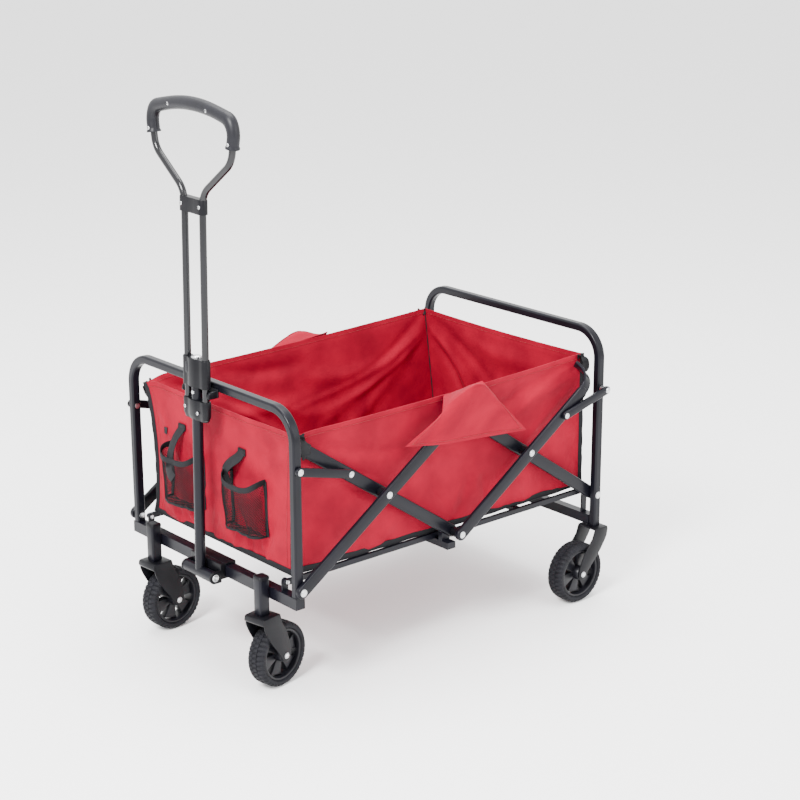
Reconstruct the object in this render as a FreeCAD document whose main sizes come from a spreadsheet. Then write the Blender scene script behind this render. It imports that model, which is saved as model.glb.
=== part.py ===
"""Folding wagon with a telescopic pull handle.

The origin is on the floor, under the centre of the wagon. +Z is up, +X is the wagon's left-hand to
right-hand width, and the handle end faces -Y. All sizes are millimetres. Heights are measured from the
floor and lengths from the middle of the frame, which stands y_shift behind the origin.
"""
import FreeCAD, Part
import math
import os
import re

import Sketcher

os.makedirs("parts", exist_ok=True)
doc = FreeCAD.newDocument("folding_wagon")
Vector = FreeCAD.Vector

# ---------------------------------------------------------------------------------------------
# Driving dimensions
# ---------------------------------------------------------------------------------------------
DIMENSIONS = [
    ("frame_width", 508, "leg centre to leg centre, across"),
    ("frame_length", 760, "leg centre to leg centre, along"),
    ("y_shift", 14.9, "middle of the frame behind the origin"),
    ("leg_width", 16, "frame tube, across"),
    ("leg_depth", 18, "frame tube, along"),
    ("leg_round", 4, "corner radius of the frame tube"),
    ("tube_wall", 1.5, "wall of the frame tubes"),
    ("frame_bend", 55, "centreline bend radius of the frame corners"),
    ("front_top_height", 545, "centre of the front top bar"),
    ("rear_top_height", 557, "centre of the rear top bar"),
    ("front_leg_foot", 204, "bottom of the front legs, on the cross bar"),
    ("rear_leg_foot", 150.5, "bottom of the rear legs, on the wheel brackets"),
    ("cross_depth", 20, "cross bars, along"),
    ("cross_height", 22, "cross bars, up"),
    ("rear_cross_height", 162, "centre of the rear cross bar"),
    ("pivot_height", 217, "lower pivots of the scissor bars"),
    ("crossing_rise", 136.947, "crossing pivots above the lower pivots"),
    ("crossing_offset", 180, "crossing pivots from the middle, along"),
    ("bar_width", 24, "face of the scissor bars"),
    ("bar_thick", 10, "thickness of the scissor bars"),
    ("side_gap", 0.6, "washer gap between bars and legs"),
    ("free_gap", 0.3, "clearance at the open pivots"),
    ("pin_radius", 4, "rivet shafts"),
    ("pin_clear", 0.06, "radial running clearance on the rivets"),
    ("head_radius", 6.5, "rivet heads"),
    ("head_thick", 2.2, "rivet heads"),
    ("bush_radius", 9, "spacer bushes between the bars"),
    ("inner_bar_tip", 204, "inner front bar beyond its crossing"),
    ("corner_cap", 10, "length of the corner caps"),
    ("outer_bar_tip", 384, "outer rear bar from its lower pivot"),
    ("link_offset", 104.8, "link pivots beyond the crossing, along the bar"),
    ("link_height", 442.5, "link pivots on the legs"),
    ("link_width", 16, "face of the links"),
    ("link_thick", 7.5, "thickness of the links"),
    ("centre_bar_depth", 20, "centre cross bar, along"),
    ("centre_bar_height", 13, "centre cross bar, up"),
    ("centre_bar_top", 217, "top of the centre cross bar"),
    ("centre_bar_offset", 18, "centre cross bar ahead of the middle"),
    ("rail_height", 10, "floor rails, up"),
    ("rail_thick", 7, "floor rails, across"),
    ("rail_level", 222.5, "centre of the floor rails"),
    ("front_rail_gap", 14.4, "centre of the front floor rails inside the bars"),
    ("rear_rail_gap", 6.4, "centre of the rear floor rails inside the bars"),
    ("basket_floor", 229.5, "underside of the basket"),
    ("basket_floor_gap", 19.4, "edge of the basket floor inside the bars"),
    ("basket_rim_gap", 2.4, "basket rim inside the bars"),
    ("basket_front_gap", 18, "basket floor behind the front legs"),
    ("basket_rear_gap", 12, "basket floor ahead of the rear legs"),
    ("basket_rear_lean", 20, "rear wall comes forward at the rim"),
    ("basket_rim_front", 500, "height of the rim at the front"),
    ("basket_rim_rear", 515, "height of the rim at the rear"),
    ("cloth_wall", 3, "fabric walls with their binding"),
    ("mat_thick", 8, "floor mat"),
    ("mat_clear", 6, "floor mat inside the walls"),
    ("tyre_radius", 62, "outside of the tyres"),
    ("tyre_width", 38, "width of the tyres"),
    ("tyre_depth", 13, "tread and wall of the tyres"),
    ("rim_width", 32, "width of the wheel rims"),
    ("axle_radius", 4, "wheel axle bolts"),
    ("fork_inside", 43, "between the fork arms"),
    ("fork_plate", 3, "thickness of the forks and brackets"),
    ("fork_arm_radius", 12.5, "round end of the fork arms"),
    ("fork_top", 150, "top of the caster forks"),
    ("caster_trail", 37, "axle behind the caster stem"),
    ("rear_axle_lead", 51, "rear axle ahead of the rear legs"),
    ("rear_wheel_inset", 3, "middle of the rear wheels inside the legs"),
    ("caster_inset", 80, "caster stems inside the legs"),
    ("socket_size", 22, "caster sockets, square"),
    ("socket_bottom", 151, "bottom of the caster sockets"),
    ("socket_top", 220, "top of the caster sockets"),
    ("stem_radius", 6, "caster stems"),
    ("left_caster_yaw", 4.5, "left caster turned at rest"),
    ("right_caster_yaw", 10.6, "right caster turned at rest"),
    ("barrel_radius", 11, "handle pivot barrel"),
    ("barrel_half", 42, "half length of the pivot barrel"),
    ("barrel_height", 184, "handle pivot"),
    ("barrel_ahead", 33.3, "handle pivot ahead of the front legs"),
    ("handle_lean", 1.06, "handle leans back on its clip"),
    ("lower_tube_radius", 10, "lower handle tube"),
    ("lower_tube_top", 413, "top of the lower handle tube above the pivot"),
    ("twin_radius", 6.5, "upper handle tubes"),
    ("twin_half", 27.8, "upper handle tubes from the middle"),
    ("twin_bottom", 300, "ends of the upper tubes above the pivot"),
    ("lock_bottom", 361, "bottom of the lock block above the pivot"),
    ("lock_top", 414, "top of the lock block above the pivot"),
    ("block_round", 9, "round ends of the handle blocks"),
    ("collar_bottom", 298, "bottom of the collar above the pivot"),
    ("collar_top", 336, "top of the collar above the pivot"),
    ("clamp_bottom", 680, "bottom of the upper clamp above the pivot"),
    ("clamp_top", 707, "top of the upper clamp above the pivot"),
    ("slide_gap", 0.3, "clearance of the sliding tubes"),
    ("neck_height", 693.3, "where the upper tubes begin to spread"),
    ("neck_bend", 45, "bend where the upper tubes spread"),
    ("crook_x", 74.3, "centre of the loop's lower bend"),
    ("crook_height", 806.9, "centre of the loop's lower bend"),
    ("crook_bend", 45, "radius of the loop's lower bend"),
    ("corner_x", 93.1, "centre of the loop's upper bend"),
    ("corner_height", 829.6, "centre of the loop's upper bend"),
    ("corner_bend", 30, "radius of the loop's upper bend"),
    ("crown_radius", 400, "crown of the grip"),
    ("grip_radius", 11.5, "radius of the grip"),
    ("grip_end", 807.8, "height of the grip's lower ends"),
    ("grip_end_x", 119.9, "grip's lower ends from the middle"),
    ("screw_radius", 3.2, "screw heads on the handle"),
    ("saddle_half", 48, "half width of the handle saddle"),
    ("saddle_eye", 11.9, "round end of the saddle's lugs"),
    ("clip_half", 43.5, "half width of the handle clip"),
    ("flap_thick", 3, "side flaps"),
    ("pocket_half", 52, "half width of a cup pocket"),
    ("pocket_depth", 38, "how far a cup pocket stands out"),
    ("pocket_bottom", 283, "bottom of the cup pockets"),
    ("pocket_top", 392, "mouth of the cup pockets"),
    ("pocket_x", 96, "cup pockets from the middle"),
]

# Sizes that follow from the driving dimensions and their clearances
INSIDE_BARS = "frame_width / 2 - leg_width / 2 - side_gap - bar_thick"
FITTED = [
    (
        "bar_angle", "atan(crossing_rise / (frame_length / 2 - crossing_offset)) / 1 deg",
        "scissor bars above level",
    ),
    ("front_rail_x", f"{INSIDE_BARS} - front_rail_gap", "centre of the front floor rails from the middle"),
    ("rear_rail_x", f"{INSIDE_BARS} - rear_rail_gap", "centre of the rear floor rails from the middle"),
    ("basket_floor_half", f"{INSIDE_BARS} - basket_floor_gap", "half width of the basket floor"),
    ("basket_rim_half", f"{INSIDE_BARS} - basket_rim_gap", "half width of the basket rim"),
    ("basket_front", "frame_length / 2 - basket_front_gap", "basket floor ahead of the middle"),
    ("basket_rear", "frame_length / 2 - basket_rear_gap", "basket floor behind the middle"),
    ("rim_radius", "tyre_radius - tyre_depth", "outside of the wheel rims"),
    ("rear_wheel_x", "frame_width / 2 - rear_wheel_inset", "rear wheels from the middle"),
    ("caster_x", "frame_width / 2 - caster_inset", "caster stems from the middle"),
    ("barrel_front", "frame_length / 2 + barrel_ahead", "handle pivot ahead of the middle"),
]

sheet = doc.addObject("Spreadsheet::Sheet", "Sizes")
for row, (alias, number, note) in enumerate(DIMENSIONS, start=1):
    sheet.set(f"A{row}", note)
    sheet.set(f"B{row}", str(number))
    sheet.setAlias(f"B{row}", alias)
doc.recompute()
for row, (alias, formula, note) in enumerate(FITTED, start=len(DIMENSIONS) + 1):
    sheet.set(f"A{row}", note)
    sheet.set(f"B{row}", f"={formula}")
    sheet.setAlias(f"B{row}", alias)
    doc.recompute()
probe = doc.addObject("Spreadsheet::Sheet", "Probe")

NODES = []


# ---------------------------------------------------------------------------------------------
# Helpers
# ---------------------------------------------------------------------------------------------
def sized(text):
    """Turns the aliases in a formula into references to the dimension sheet."""
    return re.sub(r"\b([a-z]+_[a-z_]+)\b", r"Sizes.\1", str(text))


def value(text):
    """The present number of a formula over the dimension sheet."""
    probe.set("A1", "=" + sized(text))
    probe.recompute()
    return float(probe.get("A1"))


def bind(item, **formulas):
    """Binds properties of an object to formulas."""
    for name, formula in formulas.items():
        item.setExpression(name, sized(formula))
    return item


def place(item, x="0", y="0", z="0", axis=None, angle=None):
    """Places an object in the wagon's frame, with an optional turn about an axis."""
    if axis is not None:
        item.Placement = FreeCAD.Placement(Vector(), FreeCAD.Rotation(Vector(*axis), value(angle)))
        item.setExpression("Placement.Rotation.Angle", sized(angle))
    item.setExpression("Placement.Base.x", sized(x))
    item.setExpression("Placement.Base.y", sized(f"({y}) + y_shift"))
    item.setExpression("Placement.Base.z", sized(z))
    return item


def box(name, centre, size):
    """A box from the formulas of its centre and its size."""
    item = doc.addObject("Part::Box", name)
    bind(item, Length=size[0], Width=size[1], Height=size[2])
    low = [f"({c}) - ({s}) / 2" for c, s in zip(centre, size)]
    return place(item, *low)


def rod(name, radius, start, length, y, z):
    """A round rod along +X from start."""
    item = doc.addObject("Part::Cylinder", name)
    bind(item, Radius=radius, Height=length)
    return place(item, start, y, z, (0, 1, 0), "90")


def post(name, radius, x, y, bottom, length):
    """A round rod along +Z from its bottom."""
    item = doc.addObject("Part::Cylinder", name)
    bind(item, Radius=radius, Height=length)
    return place(item, x, y, bottom)


def fuse(name, *items):
    """Several touching pieces as one."""
    item = doc.addObject("Part::MultiFuse", name)
    item.Shapes = list(items)
    return item


def cut(name, base, tool):
    """A piece less another."""
    item = doc.addObject("Part::Cut", name)
    item.Base = base
    item.Tool = tool
    return item


def common(name, base, tool):
    """What two pieces share."""
    item = doc.addObject("Part::Common", name)
    item.Base = base
    item.Tool = tool
    return item


def group(name, *items):
    """Separate identical solids in one node."""
    item = doc.addObject("Part::Compound", name)
    item.Links = list(items)
    return item


def node(name, item):
    """Names a finished sub-part."""
    item.Label = name
    NODES.append(item)
    return item


def origin_plane(body, role):
    """One of a body's own origin planes."""
    return next(plane for plane in body.Origin.OriginFeatures if plane.Role == role)


def new_body(name):
    """An empty PartDesign body."""
    return doc.addObject("PartDesign::Body", name)


def body_sketch(body, name, role):
    """A sketch on one of its body's origin planes."""
    sketch = body.newObject("Sketcher::SketchObject", name)
    sketch.AttachmentSupport = [(origin_plane(body, role), "")]
    sketch.MapMode = "FlatFace"
    return sketch


def hold(sketch, kind, *where, formula):
    """A dimension of a sketch bound to a formula."""
    index = sketch.addConstraint(Sketcher.Constraint(kind, *where, value(formula)))
    sketch.setExpression(f"Constraints[{index}]", sized(formula))


def polygon(sketch, corners):
    """A closed outline whose corners are bound to formulas."""
    points = [Vector(value(x), value(y), 0) for x, y in corners]
    first = sketch.GeometryCount
    count = len(points)
    for index in range(count):
        sketch.addGeometry(Part.LineSegment(points[index], points[(index + 1) % count]), False)
    for index in range(count):
        following = first + (index + 1) % count
        sketch.addConstraint(Sketcher.Constraint("Coincident", first + index, 2, following, 1))
    for index, (x, y) in enumerate(corners):
        hold(sketch, "DistanceX", -1, 1, first + index, 1, formula=x)
        hold(sketch, "DistanceY", -1, 1, first + index, 1, formula=y)


def circle(sketch, x, y, radius):
    """A circle whose place and radius are bound to formulas."""
    index = sketch.addGeometry(
        Part.Circle(Vector(value(x), value(y), 0), Vector(0, 0, 1), value(radius)), False
    )
    hold(sketch, "DistanceX", -1, 1, index, 3, formula=x)
    hold(sketch, "DistanceY", -1, 1, index, 3, formula=y)
    hold(sketch, "Radius", index, formula=radius)


def stadium(sketch, length, radius):
    """A strip with round ends, from the sketch's origin along its horizontal axis."""
    span, half = value(length), value(radius)
    normal = Vector(0, 0, 1)
    quarter = 1.5707963267948966
    top = sketch.addGeometry(Part.LineSegment(Vector(0, half, 0), Vector(span, half, 0)), False)
    far = sketch.addGeometry(
        Part.ArcOfCircle(Part.Circle(Vector(span, 0, 0), normal, half), -quarter, quarter), False
    )
    low = sketch.addGeometry(Part.LineSegment(Vector(span, -half, 0), Vector(0, -half, 0)), False)
    near = sketch.addGeometry(
        Part.ArcOfCircle(Part.Circle(Vector(0, 0, 0), normal, half), quarter, 3 * quarter), False
    )
    for joint in ((top, 2, far, 2), (far, 1, low, 1), (low, 2, near, 2), (near, 1, top, 1)):
        sketch.addConstraint(Sketcher.Constraint("Tangent", *joint))
    sketch.addConstraint(Sketcher.Constraint("Coincident", near, 3, -1, 1))
    sketch.addConstraint(Sketcher.Constraint("PointOnObject", far, 3, -1))
    hold(sketch, "DistanceX", -1, 1, far, 3, formula=length)
    hold(sketch, "Radius", far, formula=radius)


def pad(body, sketch, length, centred=False):
    """A pad of a sketch."""
    feature = body.newObject("PartDesign::Pad", sketch.Name + "_pad")
    feature.Profile = sketch
    feature.setExpression("Length", sized(length))
    feature.Midplane = centred
    sketch.Visibility = False
    return feature


def pocket(body, sketch, length, centred=True):
    """A pocket of a sketch, both ways unless told otherwise."""
    feature = body.newObject("PartDesign::Pocket", sketch.Name + "_pocket")
    feature.Profile = sketch
    feature.setExpression("Length", sized(length))
    feature.Midplane = centred
    return feature


def flat_bar(name, length, width, thick, holes, hole_radius):
    """A flat bar with round ends along +Y, its first pivot at the origin, thick along +X."""
    body = new_body(name)
    outline = body_sketch(body, name + "_outline", "YZ_Plane")
    stadium(outline, length, f"({width}) / 2")
    for along in holes:
        circle(outline, along, "0", hole_radius)
    pad(body, outline, thick)
    return body


SIDES = (("left", -1), ("right", 1))
RIVET_HOLE = "pin_radius + pin_clear"
LONG_SPAN = "(frame_length / 2 - crossing_offset) / cos(bar_angle)"
SHORT_SPAN = "crossing_offset / cos(bar_angle)"
RISE = "tan(bar_angle)"
CROSSING_HEIGHT = f"pivot_height + (frame_length / 2 - crossing_offset) * {RISE}"
CENTRE_LOW = f"{CROSSING_HEIGHT} - crossing_offset * {RISE}"
CENTRE_HIGH = f"{CROSSING_HEIGHT} + crossing_offset * {RISE}"
FRONT_LEG = "-frame_length / 2"
REAR_LEG = "frame_length / 2"
LEG_OUT = "frame_width / 2 + leg_width / 2"
LEG_IN = "frame_width / 2 - leg_width / 2"
OUTER_IN = f"{LEG_OUT} + side_gap"
OUTER_OUT = f"{OUTER_IN} + bar_thick"
INNER_OUT = f"{LEG_IN} - side_gap"
INNER_IN = f"{INNER_OUT} - bar_thick"
LINK_IN = f"{LEG_OUT} + side_gap"
LINK_OUT = f"{LINK_IN} + link_thick"
REAR_LINK_IN = f"{OUTER_OUT} + side_gap"


def x_start(side, inner, outer):
    """The lower X of a span that runs from inner to outer on one side."""
    return f"({inner})" if side > 0 else f"-({outer})"


def side_rod(name, side, radius, inner, outer, y, z):
    """A rod across, from inner to outer on one side of the wagon."""
    return rod(name, radius, x_start(side, inner, outer), f"({outer}) - ({inner})", y, z)


def rivet(name, side, inner, outer, y, z):
    """A rivet: its shaft from inner to outer, and a head at each end."""
    shaft = side_rod(name + "_shaft", side, "pin_radius", inner, outer, y, z)
    heads = [
        side_rod(name + "_inner_head", side, "head_radius", f"{inner} - head_thick", inner, y, z),
        side_rod(name + "_outer_head", side, "head_radius", outer, f"{outer} + head_thick", y, z),
    ]
    return fuse(name, shaft, *heads)


# ---------------------------------------------------------------------------------------------
# Bent frame tubes
# ---------------------------------------------------------------------------------------------
def rounded_section(name, width, depth, radius):
    """A rounded rectangle about the sketch's origin."""
    sketch = doc.addObject("Sketcher::SketchObject", name)
    half_w, half_d, corner = value(f"({width}) / 2"), value(f"({depth}) / 2"), value(radius)
    normal = Vector(0, 0, 1)
    quarter = 1.5707963267948966
    centres = [(1, 1, 0), (-1, 1, 1), (-1, -1, 2), (1, -1, 3)]
    arcs = []
    for sx, sy, turn in centres:
        middle = Vector(sx * (half_w - corner), sy * (half_d - corner), 0)
        arc = Part.ArcOfCircle(Part.Circle(middle, normal, corner), turn * quarter, (turn + 1) * quarter)
        arcs.append(sketch.addGeometry(arc, False))
    ends = [
        (Vector(half_w - corner, half_d, 0), Vector(corner - half_w, half_d, 0)),
        (Vector(-half_w, half_d - corner, 0), Vector(-half_w, corner - half_d, 0)),
        (Vector(corner - half_w, -half_d, 0), Vector(half_w - corner, -half_d, 0)),
        (Vector(half_w, corner - half_d, 0), Vector(half_w, half_d - corner, 0)),
    ]
    for index, (start, end) in enumerate(ends):
        line = sketch.addGeometry(Part.LineSegment(start, end), False)
        sketch.addConstraint(Sketcher.Constraint("Tangent", arcs[index], 2, line, 1))
        sketch.addConstraint(Sketcher.Constraint("Tangent", line, 2, arcs[(index + 1) % 4], 1))
    for index, (sx, sy, _turn) in enumerate(centres):
        if index in (0, 2):
            hold(sketch, "DistanceX", -1, 1, arcs[index], 3, formula=f"{sx} * (({width}) / 2 - ({radius}))")
            hold(sketch, "DistanceY", -1, 1, arcs[index], 3, formula=f"{sy} * (({depth}) / 2 - ({radius}))")
        hold(sketch, "Radius", arcs[index], formula=radius)
    return sketch


def arch_path(name, foot, top):
    """The centreline of an upside-down U: up one leg, round the bends and down the other."""
    sketch = doc.addObject("Sketcher::SketchObject", name)
    half, low, high, bend = value("frame_width / 2"), value(foot), value(top), value("frame_bend")
    normal = Vector(0, 0, 1)
    quarter = 1.5707963267948966
    up = sketch.addGeometry(Part.LineSegment(Vector(-half, low, 0), Vector(-half, high - bend, 0)), False)
    first = sketch.addGeometry(
        Part.ArcOfCircle(Part.Circle(Vector(bend - half, high - bend, 0), normal, bend), quarter, 2 * quarter),
        False,
    )
    over = sketch.addGeometry(Part.LineSegment(Vector(bend - half, high, 0), Vector(half - bend, high, 0)), False)
    second = sketch.addGeometry(
        Part.ArcOfCircle(Part.Circle(Vector(half - bend, high - bend, 0), normal, bend), 0, quarter), False
    )
    down = sketch.addGeometry(Part.LineSegment(Vector(half, high - bend, 0), Vector(half, low, 0)), False)
    for joint in ((up, 2, first, 2), (first, 1, over, 1), (over, 2, second, 2), (second, 1, down, 1)):
        sketch.addConstraint(Sketcher.Constraint("Tangent", *joint))
    sketch.addConstraint(Sketcher.Constraint("Vertical", up))
    sketch.addConstraint(Sketcher.Constraint("Vertical", down))
    hold(sketch, "Radius", first, formula="frame_bend")
    hold(sketch, "Radius", second, formula="frame_bend")
    hold(sketch, "DistanceX", -1, 1, up, 1, formula="-frame_width / 2")
    hold(sketch, "DistanceY", -1, 1, up, 1, formula=foot)
    hold(sketch, "DistanceX", -1, 1, down, 2, formula="frame_width / 2")
    hold(sketch, "DistanceY", -1, 1, down, 2, formula=foot)
    hold(sketch, "DistanceY", -1, 1, over, 1, formula=top)
    return sketch


def arch_sweep(name, path, section, y, foot):
    """Sweeps a section along an arch that stands across the wagon at y."""
    place(path, "0", y, "0", (1, 0, 0), "90")
    place(section, "-frame_width / 2", y, foot)
    sweep = doc.addObject("Part::Sweep", name)
    sweep.Sections = [section]
    sweep.Spine = (path, [f"Edge{index}" for index in range(1, 6)])
    sweep.Solid = True
    sweep.Frenet = False
    return sweep


def arch_tube(name, y, foot, top, holes):
    """A bent frame tube, hollow, drilled through both legs for its rivets."""
    path = arch_path(name + "_path", foot, top)
    outside = rounded_section(name + "_outside", "leg_width", "leg_depth", "leg_round")
    inside = rounded_section(
        name + "_inside", "leg_width - 2 * tube_wall", "leg_depth - 2 * tube_wall", "leg_round - tube_wall"
    )
    shell = arch_sweep(name + "_shell", path, outside, y, foot)
    core = arch_sweep(name + "_core", path, inside, y, foot)
    drills = []
    for side_name, side in SIDES:
        for index, height in enumerate(holes):
            drill = f"{name}_{side_name}_drill_{index}"
            drills.append(side_rod(drill, side, "pin_radius", f"{LEG_IN} - 1", f"{LEG_OUT} + 1", y, height))
    return cut(name, cut(name + "_hollow", shell, core), fuse(name + "_drills", *drills))


LEG_HOLES = ("pivot_height", "link_height")
node("front_frame_tube", arch_tube("front_tube", FRONT_LEG, "front_leg_foot", "front_top_height", LEG_HOLES))
node("rear_frame_tube", arch_tube("rear_tube", REAR_LEG, "rear_leg_foot", "rear_top_height", LEG_HOLES))

# ---------------------------------------------------------------------------------------------
# Cross bars, with the lugs that carry the floor rails
# ---------------------------------------------------------------------------------------------
LUG_THICK = "4"
LUG_RADIUS = "6.5"


def rail_lugs(name, y, rail_x, foot):
    """A pair of lugs beside the floor rails, standing on a cross bar."""
    lugs = []
    for side_name, side in SIDES:
        inner = f"{rail_x} - rail_thick / 2 - side_gap - {LUG_THICK}"
        outer = f"{rail_x} - rail_thick / 2 - side_gap"
        middle = f"{side} * ({rail_x} - rail_thick / 2 - side_gap - {LUG_THICK} / 2)"
        web = box(
            f"{name}_{side_name}_web",
            (middle, y, f"(({foot}) + rail_level) / 2"),
            (LUG_THICK, f"2 * {LUG_RADIUS}", f"rail_level - ({foot})"),
        )
        eye = side_rod(f"{name}_{side_name}_eye", side, LUG_RADIUS, inner, outer, y, "rail_level")
        lugs += [web, eye]
    return lugs


def lug_drills(name, y, rail_x):
    """The rivet holes through the rail lugs."""
    return [
        side_rod(
            f"{name}_{side_name}_lug_drill", side, "pin_radius - 1", f"{rail_x} - rail_thick - 9",
            f"{rail_x}", y, "rail_level",
        )
        for side_name, side in SIDES
    ]


FRONT_BAR_TOP = "front_leg_foot"
FRONT_BAR_CENTRE = "front_leg_foot - cross_height / 2"
front_bar = box(
    "front_bar_outside",
    ("0", FRONT_LEG, FRONT_BAR_CENTRE),
    ("frame_width + leg_width", "cross_depth", "cross_height"),
)
front_bar_core = box(
    "front_bar_inside",
    ("0", FRONT_LEG, FRONT_BAR_CENTRE),
    ("frame_width + leg_width - 2 * tube_wall", "cross_depth - 2 * tube_wall", "cross_height - 2 * tube_wall"),
)
FRONT_RAIL_PIVOT = "-frame_length / 2 + 1"
REAR_RAIL_PIVOT = "frame_length / 2 - 1"
front_bar_whole = fuse(
    "front_bar_whole",
    cut("front_bar_tube", front_bar, front_bar_core),
    *rail_lugs("front_lug", FRONT_RAIL_PIVOT, "front_rail_x", FRONT_BAR_TOP),
)
node(
    "front_cross_bar",
    cut(
        "front_bar", front_bar_whole,
        fuse("front_lug_drills", *lug_drills("front", FRONT_RAIL_PIVOT, "front_rail_x")),
    ),
)

REAR_BAR_TOP = "rear_cross_height + cross_depth / 2"
rear_bar = box(
    "rear_bar_outside",
    ("0", REAR_LEG, "rear_cross_height"),
    ("frame_width - leg_width", "leg_depth", "cross_depth"),
)
rear_bar_core = box(
    "rear_bar_inside",
    ("0", REAR_LEG, "rear_cross_height"),
    ("frame_width - leg_width - 2 * tube_wall", "leg_depth - 2 * tube_wall", "cross_depth - 2 * tube_wall"),
)
rear_bar_whole = fuse(
    "rear_bar_whole",
    cut("rear_bar_tube", rear_bar, rear_bar_core),
    *rail_lugs("rear_lug", REAR_RAIL_PIVOT, "rear_rail_x", REAR_BAR_TOP),
)
node(
    "rear_cross_bar",
    cut(
        "rear_bar", rear_bar_whole,
        fuse("rear_lug_drills", *lug_drills("rear", REAR_RAIL_PIVOT, "rear_rail_x")),
    ),
)

# ---------------------------------------------------------------------------------------------
# Caster sockets on the front of the cross bar
# ---------------------------------------------------------------------------------------------
SOCKET_Y = "-frame_length / 2 - cross_depth / 2 - socket_size / 2"
STEM_TOP = "socket_top - 6"
sockets = []
caps = []
for side_name, side in SIDES:
    x = f"{side} * caster_x"
    tube = box(
        f"socket_{side_name}_outside",
        (x, SOCKET_Y, "(socket_bottom + socket_top) / 2"),
        ("socket_size", "socket_size", "socket_top - socket_bottom"),
    )
    bore = post(
        f"socket_{side_name}_bore", "stem_radius + pin_clear", x, SOCKET_Y, "socket_bottom",
        f"{STEM_TOP} + 1 - socket_bottom",
    )
    sockets.append(cut(f"socket_{side_name}", tube, bore))
    plate = box(
        f"socket_cap_{side_name}_plate",
        (x, SOCKET_Y, "socket_top + 3.5"),
        ("socket_size + 2", "socket_size + 2", "7"),
    )
    crown = doc.addObject("Part::Fillet", f"socket_cap_{side_name}")
    crown.Base = plate
    doc.recompute()
    crown.Edges = [
        (index + 1, 5, 5)
        for index, edge in enumerate(plate.Shape.Edges)
        if edge.CenterOfMass.z > value("socket_top + 6.9")
    ]
    caps.append(crown)
node("caster_sockets", group("caster_socket_pair", *sockets))
node("caster_socket_caps", group("caster_cap_pair", *caps))


# ---------------------------------------------------------------------------------------------
# Wheels: local X is the axle, and the wheel's centre is the origin
# ---------------------------------------------------------------------------------------------
HUB_RADIUS = "13"
HUB_HALF = "fork_inside / 2 - 0.5"
WEB_HALF = "4"
RIM_THICK = "4"
WINDOWS = 6


def wheel_hub(name):
    """A moulded hub: boss, web with wedge windows, and rim."""
    body = new_body(name)
    section = body_sketch(body, name + "_section", "XY_Plane")
    bore = "axle_radius + pin_clear"
    inside = f"rim_radius - {RIM_THICK}"
    polygon(
        section,
        [
            (f"-({HUB_HALF})", bore), (HUB_HALF, bore), (HUB_HALF, HUB_RADIUS), (WEB_HALF, HUB_RADIUS),
            (WEB_HALF, inside), ("rim_width / 2", inside), ("rim_width / 2", "rim_radius"),
            ("-rim_width / 2", "rim_radius"), ("-rim_width / 2", inside), (f"-{WEB_HALF}", inside),
            (f"-{WEB_HALF}", HUB_RADIUS), (f"-({HUB_HALF})", HUB_RADIUS),
        ],
    )
    turned = body.newObject("PartDesign::Revolution", name + "_turned")
    turned.Profile = section
    turned.ReferenceAxis = (section, ["H_Axis"])
    turned.Angle = 360
    window = body_sketch(body, name + "_window", "YZ_Plane")
    low, high = f"{HUB_RADIUS} + 5", f"rim_radius - {RIM_THICK} - 4"
    polygon(
        window,
        [
            (f"({low})", f"-({low}) * 0.18"), (f"({high})", f"-({high}) * 0.33"),
            (f"({high}) + 1.5", "0"), (f"({high})", f"({high}) * 0.33"), (f"({low})", f"({low}) * 0.18"),
        ],
    )
    opened = pocket(body, window, "rim_width")
    doc.recompute()
    ring = body.newObject("PartDesign::PolarPattern", name + "_windows")
    ring.Originals = [opened]
    ring.Axis = (window, ["N_Axis"])
    ring.Angle = 360
    ring.Occurrences = WINDOWS
    body.Tip = ring
    return body


def wheel_tyre(name):
    """A tyre with chamfered shoulders, seated on the rim."""
    body = new_body(name)
    section = body_sketch(body, name + "_section", "XY_Plane")
    shoulder = "tyre_width / 2"
    polygon(
        section,
        [
            ("-rim_width / 2", "rim_radius"), ("rim_width / 2", "rim_radius"),
            (shoulder, "rim_radius + 2.5"), (shoulder, "tyre_radius - 6"),
            (f"{shoulder} - 2", "tyre_radius - 2"), (f"{shoulder} - 7", "tyre_radius"),
            (f"7 - {shoulder}", "tyre_radius"), (f"2 - {shoulder}", "tyre_radius - 2"),
            (f"-{shoulder}", "tyre_radius - 6"), (f"-{shoulder}", "rim_radius + 2.5"),
        ],
    )
    turned = body.newObject("PartDesign::Revolution", name + "_turned")
    turned.Profile = section
    turned.ReferenceAxis = (section, ["H_Axis"])
    turned.Angle = 360
    return body


# ---------------------------------------------------------------------------------------------
# Forks: local origin on the stem's or leg's axis at floor level, the wheel between two arms
# ---------------------------------------------------------------------------------------------
PLATE_FRONT = "20"
PLATE_REAR = "24"


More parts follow.
